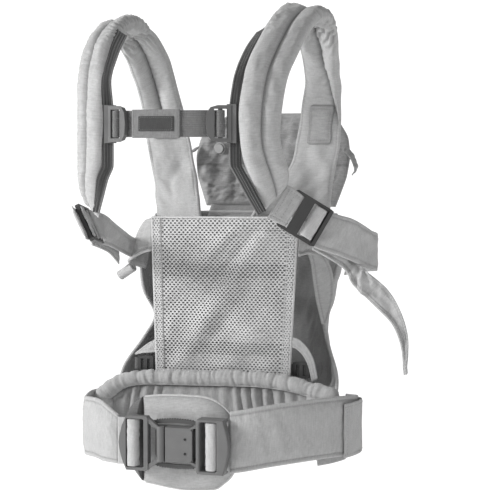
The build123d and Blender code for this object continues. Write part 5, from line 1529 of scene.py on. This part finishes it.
FOLLOW = {
    "adjuster_tab_right": ("adjuster_right", mm_(AR_O - AR_D * 30), mm_(AR_O - AR_D * 17)),
    "adjuster_tab_left": ("adjuster_left", mm_(AL_O - AL_D * 28), mm_(AL_O - AL_D * 16)),
    "side_webbing_right": ("adjuster_right", mm_((163, -8, 185)), mm_(AR_O + AR_D * 20)),
    "side_webbing_left": ("adjuster_left", mm_((-108.6, 34, 184)), mm_(AL_O + AL_D * 19)),
    "tail_right": ("adjuster_right", mm_((165, -17, 150)), mm_((130, -35, 187))),
    "tail_left": ("adjuster_left", mm_((-117, 20, 179)), mm_(AL_O + AL_D * 18)),
}
for o, body, repl, slot in PIECES:
    f_ = [v for k, v in FOLLOW.items() if o.name.startswith(k + "_")]
    if f_:
        if repl:
            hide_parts(*repl)
        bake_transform(o)
        continue
    b_ = [q for q in BLEND if q[0] is o]
    if b_:
        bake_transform(*b_[0])
        continue
    if o.name == "waist_strap_left_cloth" or o.name == "waist_strap_left_stitch":
        if repl:
            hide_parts(*repl)
        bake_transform(o)
        continue
    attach(o, body)
    if repl:
        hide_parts(*repl)

# =====================================================================
# Stage: floor, light, camera
# =====================================================================
world = bpy.data.worlds.new("studio")
bpy.context.scene.world = world
world.use_nodes = True
wt = world.node_tree
wt.nodes.clear()
wo = wt.nodes.new("ShaderNodeOutputWorld")
wb = wt.nodes.new("ShaderNodeBackground")
wb.inputs[0].default_value = (1, 1, 1, 1)
wb.inputs[1].default_value = 0.38
wc = wt.nodes.new("ShaderNodeBackground")
wc.inputs[0].default_value = (1, 1, 1, 1)
wc.inputs[1].default_value = 1.15
wp = wt.nodes.new("ShaderNodeLightPath")
wx = wt.nodes.new("ShaderNodeMixShader")
wt.links.new(wp.outputs["Is Camera Ray"], wx.inputs[0])
wt.links.new(wb.outputs[0], wx.inputs[1])
wt.links.new(wc.outputs[0], wx.inputs[2])
wt.links.new(wx.outputs[0], wo.inputs[0])

fm = Mat("floor_white")
fv = fm.coords(False)
fm.link(fm.remap(fm.noise(fv, 3.0, 3.0, 0.5), 0.3, 0.7, 0.55, 0.62), fm.b.inputs["Roughness"])
fm.b.inputs["Base Color"].default_value = (0.95, 0.95, 0.95, 1)
fm.b.inputs["Emission Color"].default_value = (1, 1, 1, 1)
fm.b.inputs["Emission Strength"].default_value = 0.45
fm.b.inputs["Specular IOR Level"].default_value = 0.1
fl = bpy.data.meshes.new("floor")
fl.from_pydata([(-30, -8, -0.0585), (30, -8, -0.0585), (30, 60, -0.0585), (-30, 60, -0.0585)], [], [(0, 1, 2, 3)])
flo = bpy.data.objects.new("floor", fl)
bpy.context.scene.collection.objects.link(flo)
fl.materials.append(fm.m)
flo.visible_camera = False


def area(name, loc, target, size, power, color=(1, 1, 1)):
    L = bpy.data.lights.new(name, "AREA")
    L.energy = power
    L.size = size
    L.color = color
    o = bpy.data.objects.new(name, L)
    o.location = loc
    d = Vector(target) - Vector(loc)
    o.rotation_euler = d.to_track_quat("-Z", "Y").to_euler()
    bpy.context.scene.collection.objects.link(o)
    return o


area("key", (-1.9, -1.35, 1.1), (0.0, 0.0, 0.18), 0.7, 66)
area("fill", (1.2, -2.6, 0.8), (0.0, 0.0, 0.18), 1.2, 10)
area("rim", (-0.6, 1.6, 1.7), (0.0, 0.0, 0.2), 1.0, 12)

A, E = math.radians(18), math.radians(3.5)
back = np.array([math.sin(A) * math.cos(E), -math.cos(A) * math.cos(E), math.sin(E)])
right = np.array([math.cos(A), math.sin(A), 0])
up = np.cross(back, right)
T = np.array([38.8, 0, 184.009]) * 0.001
cam = bpy.data.cameras.new("camera")
cam.sensor_width = 36
cam.lens = 117.55
cam.clip_start = 0.05
co = bpy.data.objects.new("camera", cam)
M = Matrix.Identity(4)
for r in range(3):
    M[r][0], M[r][1], M[r][2], M[r][3] = right[r], up[r], back[r], T[r] + back[r] * 1.6
co.matrix_world = M
bpy.context.scene.collection.objects.link(co)
bpy.context.scene.camera = co
bpy.context.scene.view_settings.view_transform = "Standard"
